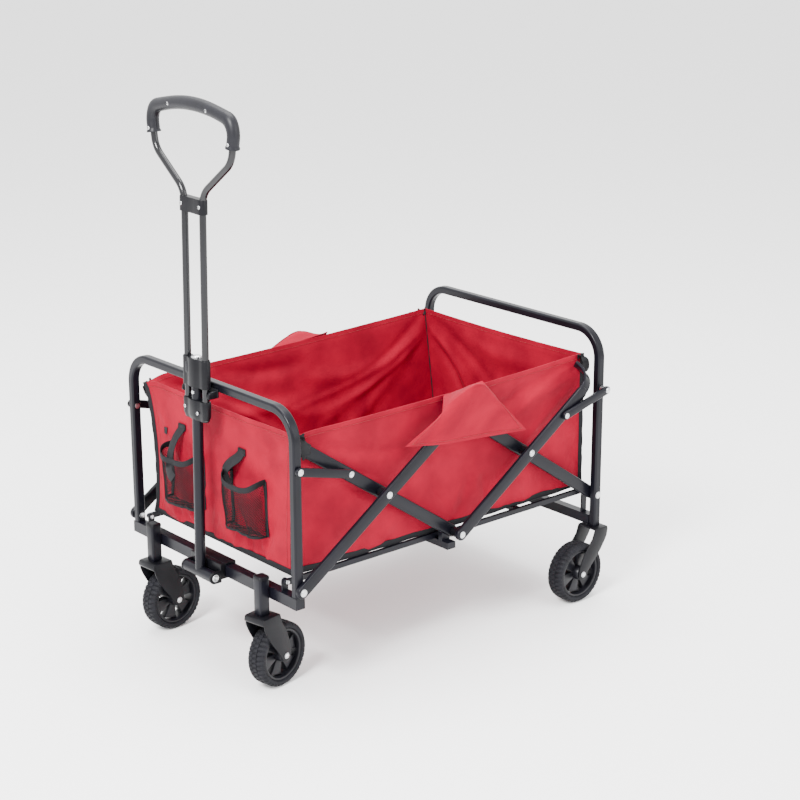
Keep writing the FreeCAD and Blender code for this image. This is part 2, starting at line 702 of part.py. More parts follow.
def wheel_fork(name, lead, top, front, rear):
    """A pressed fork: a top plate and two arms that taper to the axle, lead along +Y."""
    body = new_body(name)
    arm = body_sketch(body, name + "_arm", "YZ_Plane")
    axle_y, axle_z, radius = value(lead), value("tyre_radius"), value("fork_arm_radius")
    high, ahead, behind = value(top), value(front), value(rear)
    normal = Vector(0, 0, 1)
    edge = arm.addGeometry(Part.LineSegment(Vector(-ahead, high, 0), Vector(behind, high, 0)), False)
    back = arm.addGeometry(Part.LineSegment(Vector(behind, high, 0), Vector(axle_y + radius, axle_z, 0)), False)
    foot = arm.addGeometry(
        Part.ArcOfCircle(Part.Circle(Vector(axle_y, axle_z, 0), normal, radius), 3.4, 6.2), False
    )
    fore = arm.addGeometry(Part.LineSegment(Vector(axle_y - radius, axle_z, 0), Vector(-ahead, high, 0)), False)
    arm.addConstraint(Sketcher.Constraint("Coincident", edge, 2, back, 1))
    arm.addConstraint(Sketcher.Constraint("Tangent", back, 2, foot, 2))
    arm.addConstraint(Sketcher.Constraint("Tangent", foot, 1, fore, 1))
    arm.addConstraint(Sketcher.Constraint("Coincident", fore, 2, edge, 1))
    hold(arm, "DistanceX", -1, 1, edge, 1, formula=f"-({front})")
    hold(arm, "DistanceY", -1, 1, edge, 1, formula=top)
    hold(arm, "DistanceX", -1, 1, edge, 2, formula=rear)
    hold(arm, "DistanceY", -1, 1, edge, 2, formula=top)
    hold(arm, "DistanceX", -1, 1, foot, 3, formula=lead)
    hold(arm, "DistanceY", -1, 1, foot, 3, formula="tyre_radius")
    hold(arm, "Radius", foot, formula="fork_arm_radius")
    circle(arm, lead, "tyre_radius", "axle_radius")
    pad(body, arm, "fork_inside + 2 * fork_plate", centred=True)
    doc.recompute()
    gap = body_sketch(body, name + "_gap", "XZ_Plane")
    half = "fork_inside / 2"
    below = f"{top} - fork_plate"
    polygon(gap, [(f"-{half}", "1"), (half, "1"), (half, below), (f"-{half}", below)])
    pocket(body, gap, "8 * fork_inside")
    return body


def axle_bolt(name):
    """The axle bolt of a wheel: shaft, domed head and nut, along local X."""
    shaft = doc.addObject("Part::Cylinder", name + "_shaft")
    bind(shaft, Radius="axle_radius", Height="fork_inside + 2 * fork_plate")
    shaft.Placement = FreeCAD.Placement(Vector(), FreeCAD.Rotation(Vector(0, 1, 0), 90))
    shaft.setExpression("Placement.Base.x", sized("-fork_inside / 2 - fork_plate"))
    ends = []
    for end, start in (("head", "fork_inside / 2 + fork_plate"), ("nut", "-fork_inside / 2 - fork_plate - 3.5")):
        piece = doc.addObject("Part::Cylinder", f"{name}_{end}")
        bind(piece, Radius="7", Height="3.5")
        piece.Placement = FreeCAD.Placement(Vector(), FreeCAD.Rotation(Vector(0, 1, 0), 90))
        piece.setExpression("Placement.Base.x", sized(start))
        ends.append(piece)
    return fuse(name, shaft, *ends)


def set_local(item, dx, dy, dz):
    """Moves a piece inside its sub-assembly."""
    item.setExpression("Placement.Base.x", sized(dx))
    item.setExpression("Placement.Base.y", sized(dy))
    item.setExpression("Placement.Base.z", sized(dz))
    return item


for side_name, side in SIDES:
    x = f"{side} * caster_x"
    yaw = f"{side_name}_caster_yaw"
    turn = (0, 0, 1)
    fork_solid = wheel_fork(f"caster_{side_name}", "caster_trail", "fork_top", PLATE_FRONT, PLATE_REAR)
    stem_hole = doc.addObject("Part::Cylinder", f"stem_hole_{side_name}")
    bind(stem_hole, Radius="stem_radius", Height="20")
    stem_hole.setExpression("Placement.Base.z", sized("fork_top - 10"))
    fork = cut(f"fork_{side_name}", fork_solid, stem_hole)
    node(f"caster_fork_{side_name}", place(fork, x, SOCKET_Y, "0", turn, yaw))

    bolt = set_local(axle_bolt(f"caster_bolt_{side_name}"), "0", "caster_trail", "tyre_radius")
    stem = doc.addObject("Part::Cylinder", f"stem_{side_name}")
    bind(stem, Radius="stem_radius", Height=f"{STEM_TOP} - fork_top + fork_plate")
    stem.setExpression("Placement.Base.z", sized("fork_top - fork_plate"))
    stem_head = doc.addObject("Part::Cylinder", f"stem_head_{side_name}")
    bind(stem_head, Radius="10", Height="4")
    stem_head.setExpression("Placement.Base.z", sized("fork_top - fork_plate - 4"))
    hardware = group(
        f"hardware_{side_name}", fuse(f"stem_whole_{side_name}", stem, stem_head), bolt
    )
    node(f"caster_hardware_{side_name}", place(hardware, x, SOCKET_Y, "0", turn, yaw))

    hub_x = f"{x} - caster_trail * sin({yaw})"
    hub_y = f"{SOCKET_Y} + caster_trail * cos({yaw})"
    for kind, maker in (("hub", wheel_hub), ("tyre", wheel_tyre)):
        piece = maker(f"front_{kind}_{side_name}")
        node(f"front_{kind}_{side_name}", place(piece, hub_x, hub_y, "tyre_radius", turn, yaw))

REAR_WHEEL_Y = "frame_length / 2 - rear_axle_lead"
rear_bolts = []
for side_name, side in SIDES:
    x = f"{side} * rear_wheel_x"
    bracket = wheel_fork(
        f"rear_bracket_{side_name}", "-rear_axle_lead", "rear_leg_foot", PLATE_FRONT, "18"
    )
    node(f"rear_wheel_bracket_{side_name}", place(bracket, x, REAR_LEG, "0"))
    rear_bolts.append(place(axle_bolt(f"rear_bolt_{side_name}"), x, REAR_WHEEL_Y, "tyre_radius"))
    for kind, maker in (("hub", wheel_hub), ("tyre", wheel_tyre)):
        piece = maker(f"rear_{kind}_{side_name}")
        node(f"rear_{kind}_{side_name}", place(piece, x, REAR_WHEEL_Y, "tyre_radius"))

# ---------------------------------------------------------------------------------------------
# Scissor bars, their rivets and spacers
# ---------------------------------------------------------------------------------------------
BAR_SPAN = f"{LONG_SPAN} + {SHORT_SPAN}"
INNER_FRONT_LENGTH = f"{SHORT_SPAN} + inner_bar_tip"
inner_front_bars = {}
outer_rivets = []
inner_bushes = []
link_bushes = []
rear_bushes = []
rear_rivets = []
low_rivets = []
front_links = []
rear_links = []
front_caps = []
rear_caps = []
front_pins = []
rear_pins = []
LINK_FORE_Y = "-(crossing_offset + link_offset * cos(bar_angle))"
LINK_AFT_Y = "crossing_offset + link_offset * cos(bar_angle)"
LINK_BAR_Z = f"{CROSSING_HEIGHT} + link_offset * sin(bar_angle)"
LINK_SPAN = (
    "sqrt((frame_length / 2 - crossing_offset - link_offset * cos(bar_angle)) ^ 2"
    f" + (link_height - ({LINK_BAR_Z})) ^ 2)"
)
LINK_DROP = (
    f"atan((link_height - ({LINK_BAR_Z}))"
    " / (frame_length / 2 - crossing_offset - link_offset * cos(bar_angle)))"
)

def tip_cap(name, x, thick, y, z, angle, start, length, width):
    """A cap on a bar's end, along the bar's own direction."""
    item = doc.addObject("Part::Box", name)
    bind(item, Length=thick, Width=length, Height=width)
    turned = FreeCAD.Rotation(Vector(1, 0, 0), value(angle))
    item.Placement = FreeCAD.Placement(Vector(), turned)
    item.setExpression("Placement.Rotation.Angle", sized(angle))
    item.setExpression("Placement.Base.x", sized(x))
    across = f"({width}) / 2"
    item.setExpression(
        "Placement.Base.y",
        sized(f"({y}) + y_shift + ({start}) * cos({angle}) + ({across}) * sin({angle})"),
    )
    item.setExpression(
        "Placement.Base.z",
        sized(f"({z}) + ({start}) * sin({angle}) - ({across}) * cos({angle})"),
    )
    return item


for side_name, side in SIDES:
    outer_x = x_start(side, OUTER_IN, OUTER_OUT)
    inner_x = x_start(side, INNER_IN, INNER_OUT)
    along = (1, 0, 0)

    rising = flat_bar(
        f"outer_front_{side_name}", BAR_SPAN, "bar_width", "bar_thick",
        ("0", LONG_SPAN, BAR_SPAN), RIVET_HOLE,
    )
    node(f"outer_front_bar_{side_name}", place(rising, outer_x, FRONT_LEG, "pivot_height", along, "bar_angle"))

    leaning = flat_bar(
        f"inner_front_{side_name}", INNER_FRONT_LENGTH, "bar_width", "bar_thick",
        ("0", SHORT_SPAN), RIVET_HOLE,
    )
    inner_front_bars[side_name] = leaning
    node(f"inner_front_bar_{side_name}", place(leaning, inner_x, "0", CENTRE_LOW, along, "180 - bar_angle"))

    falling = flat_bar(
        f"inner_rear_{side_name}", BAR_SPAN, "bar_width", "bar_thick",
        ("0", SHORT_SPAN, BAR_SPAN), RIVET_HOLE,
    )
    node(f"inner_rear_bar_{side_name}", place(falling, inner_x, "0", CENTRE_HIGH, along, "-bar_angle"))

    climbing = flat_bar(
        f"outer_rear_{side_name}", "outer_bar_tip", "bar_width", "bar_thick",
        ("0", SHORT_SPAN, f"{SHORT_SPAN} + link_offset"), RIVET_HOLE,
    )
    node(f"outer_rear_bar_{side_name}", place(climbing, outer_x, "0", CENTRE_LOW, along, "bar_angle"))

    # rivets of the crossings and of the high centre pivot
    pin_in, pin_out = INNER_IN, OUTER_OUT
    outer_rivets.append(
        rivet(f"front_crossing_{side_name}", side, pin_in, pin_out, "-crossing_offset", CROSSING_HEIGHT)
    )
    outer_rivets.append(rivet(f"high_pivot_{side_name}", side, pin_in, pin_out, "0", CENTRE_HIGH))
    rear_rivets.append(
        rivet(f"rear_crossing_{side_name}", side, pin_in, pin_out, "crossing_offset", CROSSING_HEIGHT)
    )

    # spacer bushes fill the leg's width between the bars
    bush_in, bush_out = INNER_OUT, OUTER_IN
    for place_name, y, z, bushes in (
        ("front", "-crossing_offset", CROSSING_HEIGHT, inner_bushes),
        ("high", "0", CENTRE_HIGH, rear_bushes),
        ("rear", "crossing_offset", CROSSING_HEIGHT, rear_bushes),
    ):
        ring = side_rod(f"{place_name}_bush_{side_name}", side, "bush_radius", bush_in, bush_out, y, z)
        hole = side_rod(f"{place_name}_bush_hole_{side_name}", side, RIVET_HOLE, bush_in, bush_out, y, z)
        bushes.append(cut(f"{place_name}_bushing_{side_name}", ring, hole))

    # the low centre pivot is the open one: its stub ends short of the outer bar
    stub = side_rod(
        f"low_stub_{side_name}", side, "bush_radius", bush_in, f"{bush_out} - free_gap", "0", CENTRE_LOW
    )
    stub_pin = side_rod(f"low_stub_pin_{side_name}", side, "pin_radius", INNER_IN, bush_in, "0", CENTRE_LOW)
    inner_bushes.append(fuse(f"low_spacer_{side_name}", stub, stub_pin))
    low_head = side_rod(
        f"low_head_{side_name}", side, "head_radius", OUTER_OUT, f"{OUTER_OUT} + head_thick", "0", CENTRE_LOW
    )
    low_shaft = side_rod(f"low_shaft_{side_name}", side, "pin_radius", OUTER_IN, OUTER_OUT, "0", CENTRE_LOW)
    rear_rivets.append(fuse(f"low_pivot_{side_name}", low_head, low_shaft))

    # link of the front leg, outside the leg, and its stub on the inner bar
    link_x = x_start(side, LINK_IN, LINK_OUT)
    strap = flat_bar(f"front_strap_{side_name}", LINK_SPAN, "link_width", "link_thick", ("0",), RIVET_HOLE)
    place(strap, link_x, FRONT_LEG, "link_height", along, f"-({LINK_DROP})")
    inner_bushes.append(
        side_rod(
            f"front_link_stub_{side_name}", side, "pin_radius + 1.5", INNER_OUT, f"{LINK_IN} - free_gap",
            LINK_FORE_Y, LINK_BAR_Z,
        )
    )
    link_head = side_rod(
        f"front_link_head_{side_name}", side, "head_radius - 1.5", LINK_OUT, f"{LINK_OUT} + head_thick",
        LINK_FORE_Y, LINK_BAR_Z,
    )
    front_links.append(fuse(f"front_link_{side_name}", strap, link_head))

    # link of the rear leg, outside the outer bar
    rear_link_x = x_start(side, REAR_LINK_IN, f"{REAR_LINK_IN} + link_thick")
    strap = flat_bar(f"rear_strap_{side_name}", LINK_SPAN, "link_width", "link_thick", ("0",), RIVET_HOLE)
    place(strap, rear_link_x, REAR_LEG, "link_height", along, f"180 deg + ({LINK_DROP})")
    stub_shaft = side_rod(
        f"rear_link_stub_shaft_{side_name}", side, "pin_radius", OUTER_IN, f"{REAR_LINK_IN} - free_gap",
        LINK_AFT_Y, LINK_BAR_Z,
    )
    stub_head = side_rod(
        f"rear_link_stub_head_{side_name}", side, "head_radius", f"{OUTER_IN} - head_thick", OUTER_IN,
        LINK_AFT_Y, LINK_BAR_Z,
    )
    rear_rivets.append(fuse(f"rear_link_stub_{side_name}", stub_shaft, stub_head))
    link_head = side_rod(
        f"rear_link_head_{side_name}", side, "head_radius - 1.5", f"{REAR_LINK_IN} + link_thick",
        f"{REAR_LINK_IN} + link_thick + head_thick", LINK_AFT_Y, LINK_BAR_Z,
    )
    rear_links.append(fuse(f"rear_link_{side_name}", strap, link_head))

    # rivets in the legs
    front_pins.append(rivet(f"front_low_{side_name}", side, LEG_IN, OUTER_OUT, FRONT_LEG, "pivot_height"))
    front_pins.append(
        rivet(f"front_link_rivet_{side_name}", side, LEG_IN, LINK_OUT, FRONT_LEG, "link_height")
    )
    rear_pins.append(rivet(f"rear_low_{side_name}", side, INNER_IN, LEG_OUT, REAR_LEG, "pivot_height"))
    rear_link_out = f"{REAR_LINK_IN} + link_thick"
    rear_pins.append(
        rivet(f"rear_link_rivet_{side_name}", side, LEG_IN, rear_link_out, REAR_LEG, "link_height")
    )
    spacer = side_rod(
        f"rear_link_spacer_{side_name}", side, "pin_radius + 2.5", LEG_OUT, f"{REAR_LINK_IN} - side_gap / 2",
        REAR_LEG, "link_height",
    )
    rear_pins[-1] = fuse(f"rear_link_post_{side_name}", rear_pins[-1], spacer)

    # caps on the bars' upper ends, where the basket's corners hang
    sleeve = tip_cap(
        f"front_sleeve_{side_name}", x_start(side, f"{INNER_IN} - 1.8", f"{INNER_OUT} + 0.3"),
        "bar_thick + 2.1", "0", CENTRE_LOW, "180 - bar_angle", f"{INNER_FRONT_LENGTH} - 6",
        "corner_cap + 6", "bar_width + 4",
    )
    front_caps.append(cut(f"front_cap_{side_name}", sleeve, leaning))
    sleeve = tip_cap(
        f"rear_sleeve_{side_name}", x_start(side, f"{OUTER_IN} - 24", OUTER_OUT),
        "bar_thick + 24", "0", CENTRE_LOW, "bar_angle", "outer_bar_tip + 2",
        "corner_cap + 18", "bar_width + 4",
    )
    rear_caps.append(cut(f"rear_cap_{side_name}", sleeve, climbing))

for name, pieces in (
    ("outer_front_rivets", outer_rivets),
    ("inner_front_spacers", inner_bushes),
    ("inner_rear_spacers", rear_bushes),
    ("outer_rear_rivets", rear_rivets),
    ("front_links", front_links),
    ("rear_links", rear_links),
    ("front_corner_caps", front_caps),
    ("rear_corner_caps", rear_caps),
):
    node(name, group(name + "_group", *pieces))

# ---------------------------------------------------------------------------------------------
# Centre cross bar under the low pivots, hung on two plates
# ---------------------------------------------------------------------------------------------
CENTRE_BAR_Y = "-centre_bar_offset"
centre_bar = box(
    "centre_bar_box",
    ("0", CENTRE_BAR_Y, "centre_bar_top - centre_bar_height / 2"),
    (f"2 * ({OUTER_IN} - free_gap - 1)", "centre_bar_depth", "centre_bar_height"),
)
hangers = []
for side_name, side in SIDES:
    block = box(
        f"hanger_{side_name}_block",
        (
            f"{side} * (({INNER_IN}) + ({INNER_OUT})) / 2", CENTRE_BAR_Y,
            f"(centre_bar_top + {CENTRE_LOW} + 6) / 2",
        ),
        ("bar_thick", "centre_bar_depth", f"{CENTRE_LOW} + 6 - centre_bar_top"),
    )
    hangers.append(cut(f"hanger_{side_name}", block, inner_front_bars[side_name]))
node("centre_cross_bar", fuse("centre_bar", centre_bar, *hangers))

# ---------------------------------------------------------------------------------------------
# Floor rails, hinged at the legs and lapped at the middle
# ---------------------------------------------------------------------------------------------
RAIL_SPAN = "frame_length / 2 - 1"


def floor_rails(name, rail_x, pivot_y, angle, slats):
    """Two rails and the slats that join them, level when the wagon is open."""
    pieces = []
    for side_name, side in SIDES:
        rail = flat_bar(
            f"{name}_{side_name}", RAIL_SPAN, "rail_height", "rail_thick", ("0",), "pin_radius - 1 + pin_clear"
        )
        start = x_start(side, f"{rail_x} - rail_thick / 2", f"{rail_x} + rail_thick / 2")
        pieces.append(place(rail, start, pivot_y, "rail_level", (1, 0, 0), angle))
    for index, y in enumerate(slats):
        pieces.append(
            box(
                f"{name}_slat_{index}",
                ("0", y, "rail_level"),
                (f"2 * {rail_x} - rail_thick + 2", "16", "rail_height - 3"),
            )
        )
    return fuse(name + "_frame", *pieces)


node(
    "front_floor_rails",
    floor_rails("front_rails", "front_rail_x", FRONT_RAIL_PIVOT, "0", ("-frame_length / 4", "-12")),
)
node(
    "rear_floor_rails",
    floor_rails("rear_rails", "rear_rail_x", REAR_RAIL_PIVOT, "180", ("frame_length / 4",)),
)
for name, y, rail_x, pins in (
    ("front", FRONT_RAIL_PIVOT, "front_rail_x", front_pins),
    ("rear", REAR_RAIL_PIVOT, "rear_rail_x", rear_pins),
):
    for side_name, side in SIDES:
        inner = f"{rail_x} - rail_thick / 2 - side_gap - {LUG_THICK}"
        outer = f"{rail_x} + rail_thick / 2"
        shaft = side_rod(f"{name}_rail_pin_{side_name}", side, "pin_radius - 1", inner, outer, y, "rail_level")
        head = side_rod(
            f"{name}_rail_pin_head_{side_name}", side, "pin_radius + 1", f"{inner} - 1.5", inner, y, "rail_level"
        )
        pins.append(fuse(f"{name}_rail_rivet_{side_name}", shaft, head))

# ---------------------------------------------------------------------------------------------
# Handle: local origin at the pivot, +Z along the handle
# ---------------------------------------------------------------------------------------------
HANDLE_PIECES = []


def on_handle(name, item):
    """Puts a piece of the handle at its pivot, leaning back on its clip."""
    place(item, "0", "-barrel_front", "barrel_height", (1, 0, 0), "-handle_lean")
    return node(name, item)


def upright(name, radius, x, bottom, top):
    """A round piece along the handle."""
    item = doc.addObject("Part::Cylinder", name)
    bind(item, Radius=radius, Height=f"({top}) - ({bottom})")
    return set_local(item, x, "0", bottom)


def across(name, radius, half):
    """A round piece across the handle, through its pivot."""
    item = doc.addObject("Part::Cylinder", name)
    bind(item, Radius=radius, Height=f"2 * ({half})")
    item.Placement = FreeCAD.Placement(Vector(), FreeCAD.Rotation(Vector(0, 1, 0), 90))
    return set_local(item, f"-({half})", "0", "0")


def local_box(name, centre, size):
    """A box in the handle's own frame."""
    item = doc.addObject("Part::Box", name)
    bind(item, Length=size[0], Width=size[1], Height=size[2])
    return set_local(item, *[f"({c}) - ({s}) / 2" for c, s in zip(centre, size)])


def handle_block(name, bottom, top, bores):
    """A moulded block across the handle: a strip with round ends, bored along the handle."""
    ends = [
        upright(f"{name}_end_{index}", "block_round", x, bottom, top)
        for index, x in enumerate(("-twin_half", "twin_half"))
    ]
    middle = f"(({bottom}) + ({top})) / 2"
    web = local_box(
        f"{name}_web", ("0", "0", middle), ("2 * twin_half", "2 * block_round", f"({top}) - ({bottom})")
    )
    waist = upright(f"{name}_waist", "lower_tube_radius + 2.5", "0", bottom, top)
    solid = fuse(f"{name}_solid", *ends, web, waist)
    drills = [
        upright(f"{name}_bore_{index}", radius, x, f"{bottom} - 1", f"{top} + 1")
        for index, (x, radius) in enumerate(bores)
    ]
    return cut(name, solid, fuse(f"{name}_bores", *drills) if len(drills) > 1 else drills[0])


TWIN_SLIDE = "twin_radius + slide_gap"
TUBE_SLIDE = "lower_tube_radius + slide_gap"
barrel = across("barrel_outside", "barrel_radius", "barrel_half")
lower_tube = upright("lower_tube_outside", "lower_tube_radius", "0", "0", "lower_tube_top")
lower_core = upright(
    "lower_tube_inside", "lower_tube_radius - tube_wall", "0", "barrel_radius", "lower_tube_top + 1"
)
barrel_bore = across("barrel_bore", "pin_radius + pin_clear", "barrel_half + 1")
on_handle(
    "handle_lower_tube",
    cut(
        "lower_tube", fuse("lower_tube_whole", barrel, lower_tube),
        fuse("lower_tube_holes", lower_core, barrel_bore),
    ),
)
cap_disc = upright("tube_cap_disc", "lower_tube_radius", "0", "lower_tube_top", "lower_tube_top + 3")
cap_plug = upright(
    "tube_cap_plug", "lower_tube_radius - tube_wall", "0", "lower_tube_top - 12", "lower_tube_top"
)
on_handle("handle_tube_cap", fuse("tube_cap", cap_disc, cap_plug))

lock = handle_block(
    "lock_solid", "lock_bottom", "lock_top",
    (("-twin_half", TWIN_SLIDE), ("twin_half", TWIN_SLIDE), ("0", "lower_tube_radius")),
)
BUTTON_WIDTH = "10"
BUTTON_TALL = "18"
BUTTON_X = "-16"
BUTTON_Z = "lock_top - 20"
BUTTON_DEEP = "4"
button_well = local_box(
    "button_well",
    (BUTTON_X, "-block_round", BUTTON_Z),
    (f"{BUTTON_WIDTH} + 0.6", f"2 * ({BUTTON_DEEP} + 2)", f"{BUTTON_TALL} + 0.6"),
)
on_handle("lock_block", cut("lock_block_cut", lock, button_well))
button = local_box(
    "lock_button_box",
    (BUTTON_X, f"-block_round - 0.5 + {BUTTON_DEEP} / 2 - 0.2", BUTTON_Z),
    (BUTTON_WIDTH, BUTTON_DEEP, BUTTON_TALL),
)
on_handle("lock_button", fuse("lock_button_whole", button, local_box(
    "lock_button_rib",
    (BUTTON_X, "-block_round - 1.2", BUTTON_Z),
    (f"{BUTTON_WIDTH} - 2", "1.6", "3"),
)))

collar = handle_block(
    "collar_solid", "collar_bottom", "collar_top",
    (("-twin_half", "twin_radius"), ("twin_half", "twin_radius"), ("0", TUBE_SLIDE)),
)
clamp = handle_block(
    "clamp_solid", "clamp_bottom", "clamp_top",
    (("-twin_half", "twin_radius"), ("twin_half", "twin_radius")),
)


def turning(sketch, centre, radius, start, end):
    """A bend of the loop, its centre and radius bound to formulas; the angles are first guesses."""
    x, y = centre
    ring = Part.Circle(Vector(value(x), value(y), 0), Vector(0, 0, 1), value(radius))
    index = sketch.addGeometry(Part.ArcOfCircle(ring, math.radians(start), math.radians(end)), False)
    hold(sketch, "DistanceX", -1, 1, index, 3, formula=x)
    hold(sketch, "DistanceY", -1, 1, index, 3, formula=y)
    hold(sketch, "Radius", index, formula=radius)
    return index


def straight(sketch, start, end):
    """A straight run of the loop between two bends."""
    return sketch.addGeometry(Part.LineSegment(Vector(*start, 0), Vector(*end, 0)), False)


NECK = ("twin_half + neck_bend", "neck_height")
CROOK = ("crook_x", "crook_height")
CORNER = ("corner_x", "corner_height")


def crown(sketch, right, left):
    """The wide bend over the top, tangent to both upper corners."""
    reach = value("crown_radius - corner_bend")
    drop = math.sqrt(reach ** 2 - value("corner_x") ** 2)
    lean = math.degrees(math.atan2(drop, value("corner_x")))
    middle = Vector(0, value("corner_height") - drop, 0)
    ring = Part.Circle(middle, Vector(0, 0, 1), value("crown_radius"))
    arc = sketch.addGeometry(
        Part.ArcOfCircle(ring, math.radians(lean), math.radians(180 - lean)), False
    )
    sketch.addConstraint(Sketcher.Constraint("Tangent", right, 2, arc, 1))
    sketch.addConstraint(Sketcher.Constraint("Tangent", arc, 2, left, 1))
    hold(sketch, "Radius", arc, formula="crown_radius")
    return arc


def mirrored(centre):
    """The same point on the other side of the handle."""
    return (f"-({centre[0]})", centre[1])


def loop_path(name):
    """Up one upper tube, out round the loop, over the grip and down the other tube."""
    sketch = doc.addObject("Sketcher::SketchObject", name)
    sketch.Placement = FreeCAD.Placement(Vector(), FreeCAD.Rotation(Vector(1, 0, 0), 90))
    twin, foot, neck = value("twin_half"), value("twin_bottom"), value("neck_height")
    corner = turning(sketch, CORNER, "corner_bend", -9, 74)
    crook = turning(sketch, CROOK, "crook_bend", -57, -9)
    bend = turning(sketch, NECK, "neck_bend", 122, 180)
    far_corner = turning(sketch, mirrored(CORNER), "corner_bend", 106, 189)
    far_crook = turning(sketch, mirrored(CROOK), "crook_bend", 189, 237)
    far_bend = turning(sketch, mirrored(NECK), "neck_bend", 0, 58)
    crown(sketch, corner, far_corner)
    up = straight(sketch, (twin, foot), (twin, neck))
    out = straight(sketch, (49, 731), (105, 767))
    rise = straight(sketch, (125, 798), (129, 823))
    far_up = straight(sketch, (-twin, foot), (-twin, neck))
    far_out = straight(sketch, (-49, 731), (-105, 767))
    far_rise = straight(sketch, (-125, 798), (-129, 823))
    for joint in (
        (up, 2, bend, 2), (bend, 1, out, 1), (out, 2, crook, 1), (crook, 2, rise, 1), (rise, 2, corner, 1),
        (far_up, 2, far_bend, 1), (far_bend, 2, far_out, 1), (far_out, 2, far_crook, 2),
        (far_crook, 1, far_rise, 1), (far_rise, 2, far_corner, 2),
    ):
        sketch.addConstraint(Sketcher.Constraint("Tangent", *joint))
    hold(sketch, "DistanceY", -1, 1, up, 1, formula="twin_bottom")
    hold(sketch, "DistanceY", -1, 1, far_up, 1, formula="twin_bottom")
    return sketch


def grip_path(name):
    """The part of the loop that the grip covers."""
    sketch = doc.addObject("Sketcher::SketchObject", name)
    sketch.Placement = FreeCAD.Placement(Vector(), FreeCAD.Rotation(Vector(1, 0, 0), 90))
    corner = turning(sketch, CORNER, "corner_bend", -9, 74)
    far_corner = turning(sketch, mirrored(CORNER), "corner_bend", 106, 189)
    crown(sketch, corner, far_corner)
    end = value("grip_end")
    rise = straight(sketch, (126, end), (129, 823))
    far_rise = straight(sketch, (-126, end), (-129, 823))
    sketch.addConstraint(Sketcher.Constraint("Tangent", rise, 2, corner, 1))
    sketch.addConstraint(Sketcher.Constraint("Tangent", far_rise, 2, far_corner, 2))
    hold(sketch, "DistanceX", -1, 1, rise, 1, formula="grip_end_x")
    hold(sketch, "DistanceX", -1, 1, far_rise, 1, formula="-grip_end_x")
    hold(sketch, "DistanceY", -1, 1, rise, 1, formula="grip_end")
    hold(sketch, "DistanceY", -1, 1, far_rise, 1, formula="grip_end")
    return sketch


def ring_sketch(name, x, height, radius):
    """A round section across the handle's direction."""
    sketch = doc.addObject("Sketcher::SketchObject", name)
    circle(sketch, "0", "0", radius)
    sketch.setExpression("Placement.Base.x", sized(x))
    sketch.setExpression("Placement.Base.z", sized(height))
    return sketch


def swept(name, path, section, runs):
    """A solid swept along all the runs of a path."""
    sweep = doc.addObject("Part::Sweep", name)
    sweep.Sections = [section]
    doc.recompute()
    sweep.Spine = (path, [f"Edge{index}" for index in range(1, runs + 1)])
    sweep.Solid = True
    sweep.Frenet = False
    return sweep


loop = loop_path("loop_path")
loop_ring = ring_sketch("loop_ring", "twin_half", "twin_bottom", "twin_radius")
loop_core_ring = ring_sketch("loop_core_ring", "twin_half", "twin_bottom", "twin_radius - tube_wall")
loop_tube = swept("loop_outside", loop, loop_ring, 13)
loop_core = swept("loop_inside", loop, loop_core_ring, 13)
on_handle("handle_loop_tube", cut("loop_tube", loop_tube, loop_core))

SCREWS = (
    ("grip_left_low", "-corner_x - corner_bend + 2", "corner_height - 14", "grip_radius"),
    ("grip_left_high", "-58", "corner_height + 37", "grip_radius"),
    ("grip_right_high", "58", "corner_height + 37", "grip_radius"),
    ("grip_right_low", "corner_x + corner_bend - 2", "corner_height - 14", "grip_radius"),
    ("clamp_left", "-14", "(clamp_bottom + clamp_top) / 2", "block_round"),
    ("clamp_right", "14", "(clamp_bottom + clamp_top) / 2", "block_round"),
    ("collar_left", "-16", "(collar_bottom + collar_top) / 2", "block_round"),
    ("collar_right", "16", "(collar_bottom + collar_top) / 2", "block_round"),
)


def screw(name, x, height, face, inside):
    """A screw's head on the front of the handle, sunk into it."""
    item = doc.addObject("Part::Cylinder", name)
    bind(item, Radius="screw_radius", Height=f"{inside} + 1.2")
    item.Placement = FreeCAD.Placement(Vector(), FreeCAD.Rotation(Vector(1, 0, 0), -90))
    return set_local(item, x, f"-({face}) - 1.2", height)


screws = {name: screw(f"{name}_screw", x, height, face, "3") for name, x, height, face in SCREWS}
on_handle("handle_screws", group("screw_group", *screws.values()))

grip_ring = ring_sketch("grip_ring", "grip_end_x", "grip_end", "grip_radius")
grip_solid = swept("grip_outside", grip_path("grip_path"), grip_ring, 5)
grip_bored = cut("grip_bored", grip_solid, loop_tube)
for half, y in (("front", "-25"), ("rear", "25")):
    block = local_box(f"grip_{half}_block", ("0", y, "corner_height"), ("400", "50", "300"))
    piece = common(f"grip_{half}_half", grip_bored, block)
    if half == "front":
        holes = [screws[name] for name in screws if name.startswith("grip")]
        piece = cut("grip_front_drilled", piece, fuse("grip_screw_holes", *holes))
    on_handle(f"grip_{half}", piece)
for label, solid in (("collar", collar), ("clamp", clamp)):
    holes = [screws[name] for name in screws if name.startswith(label)] + [loop_tube]
    on_handle(f"handle_{label}", cut(f"{label}_drilled", solid, fuse(f"{label}_screw_holes", *holes)))

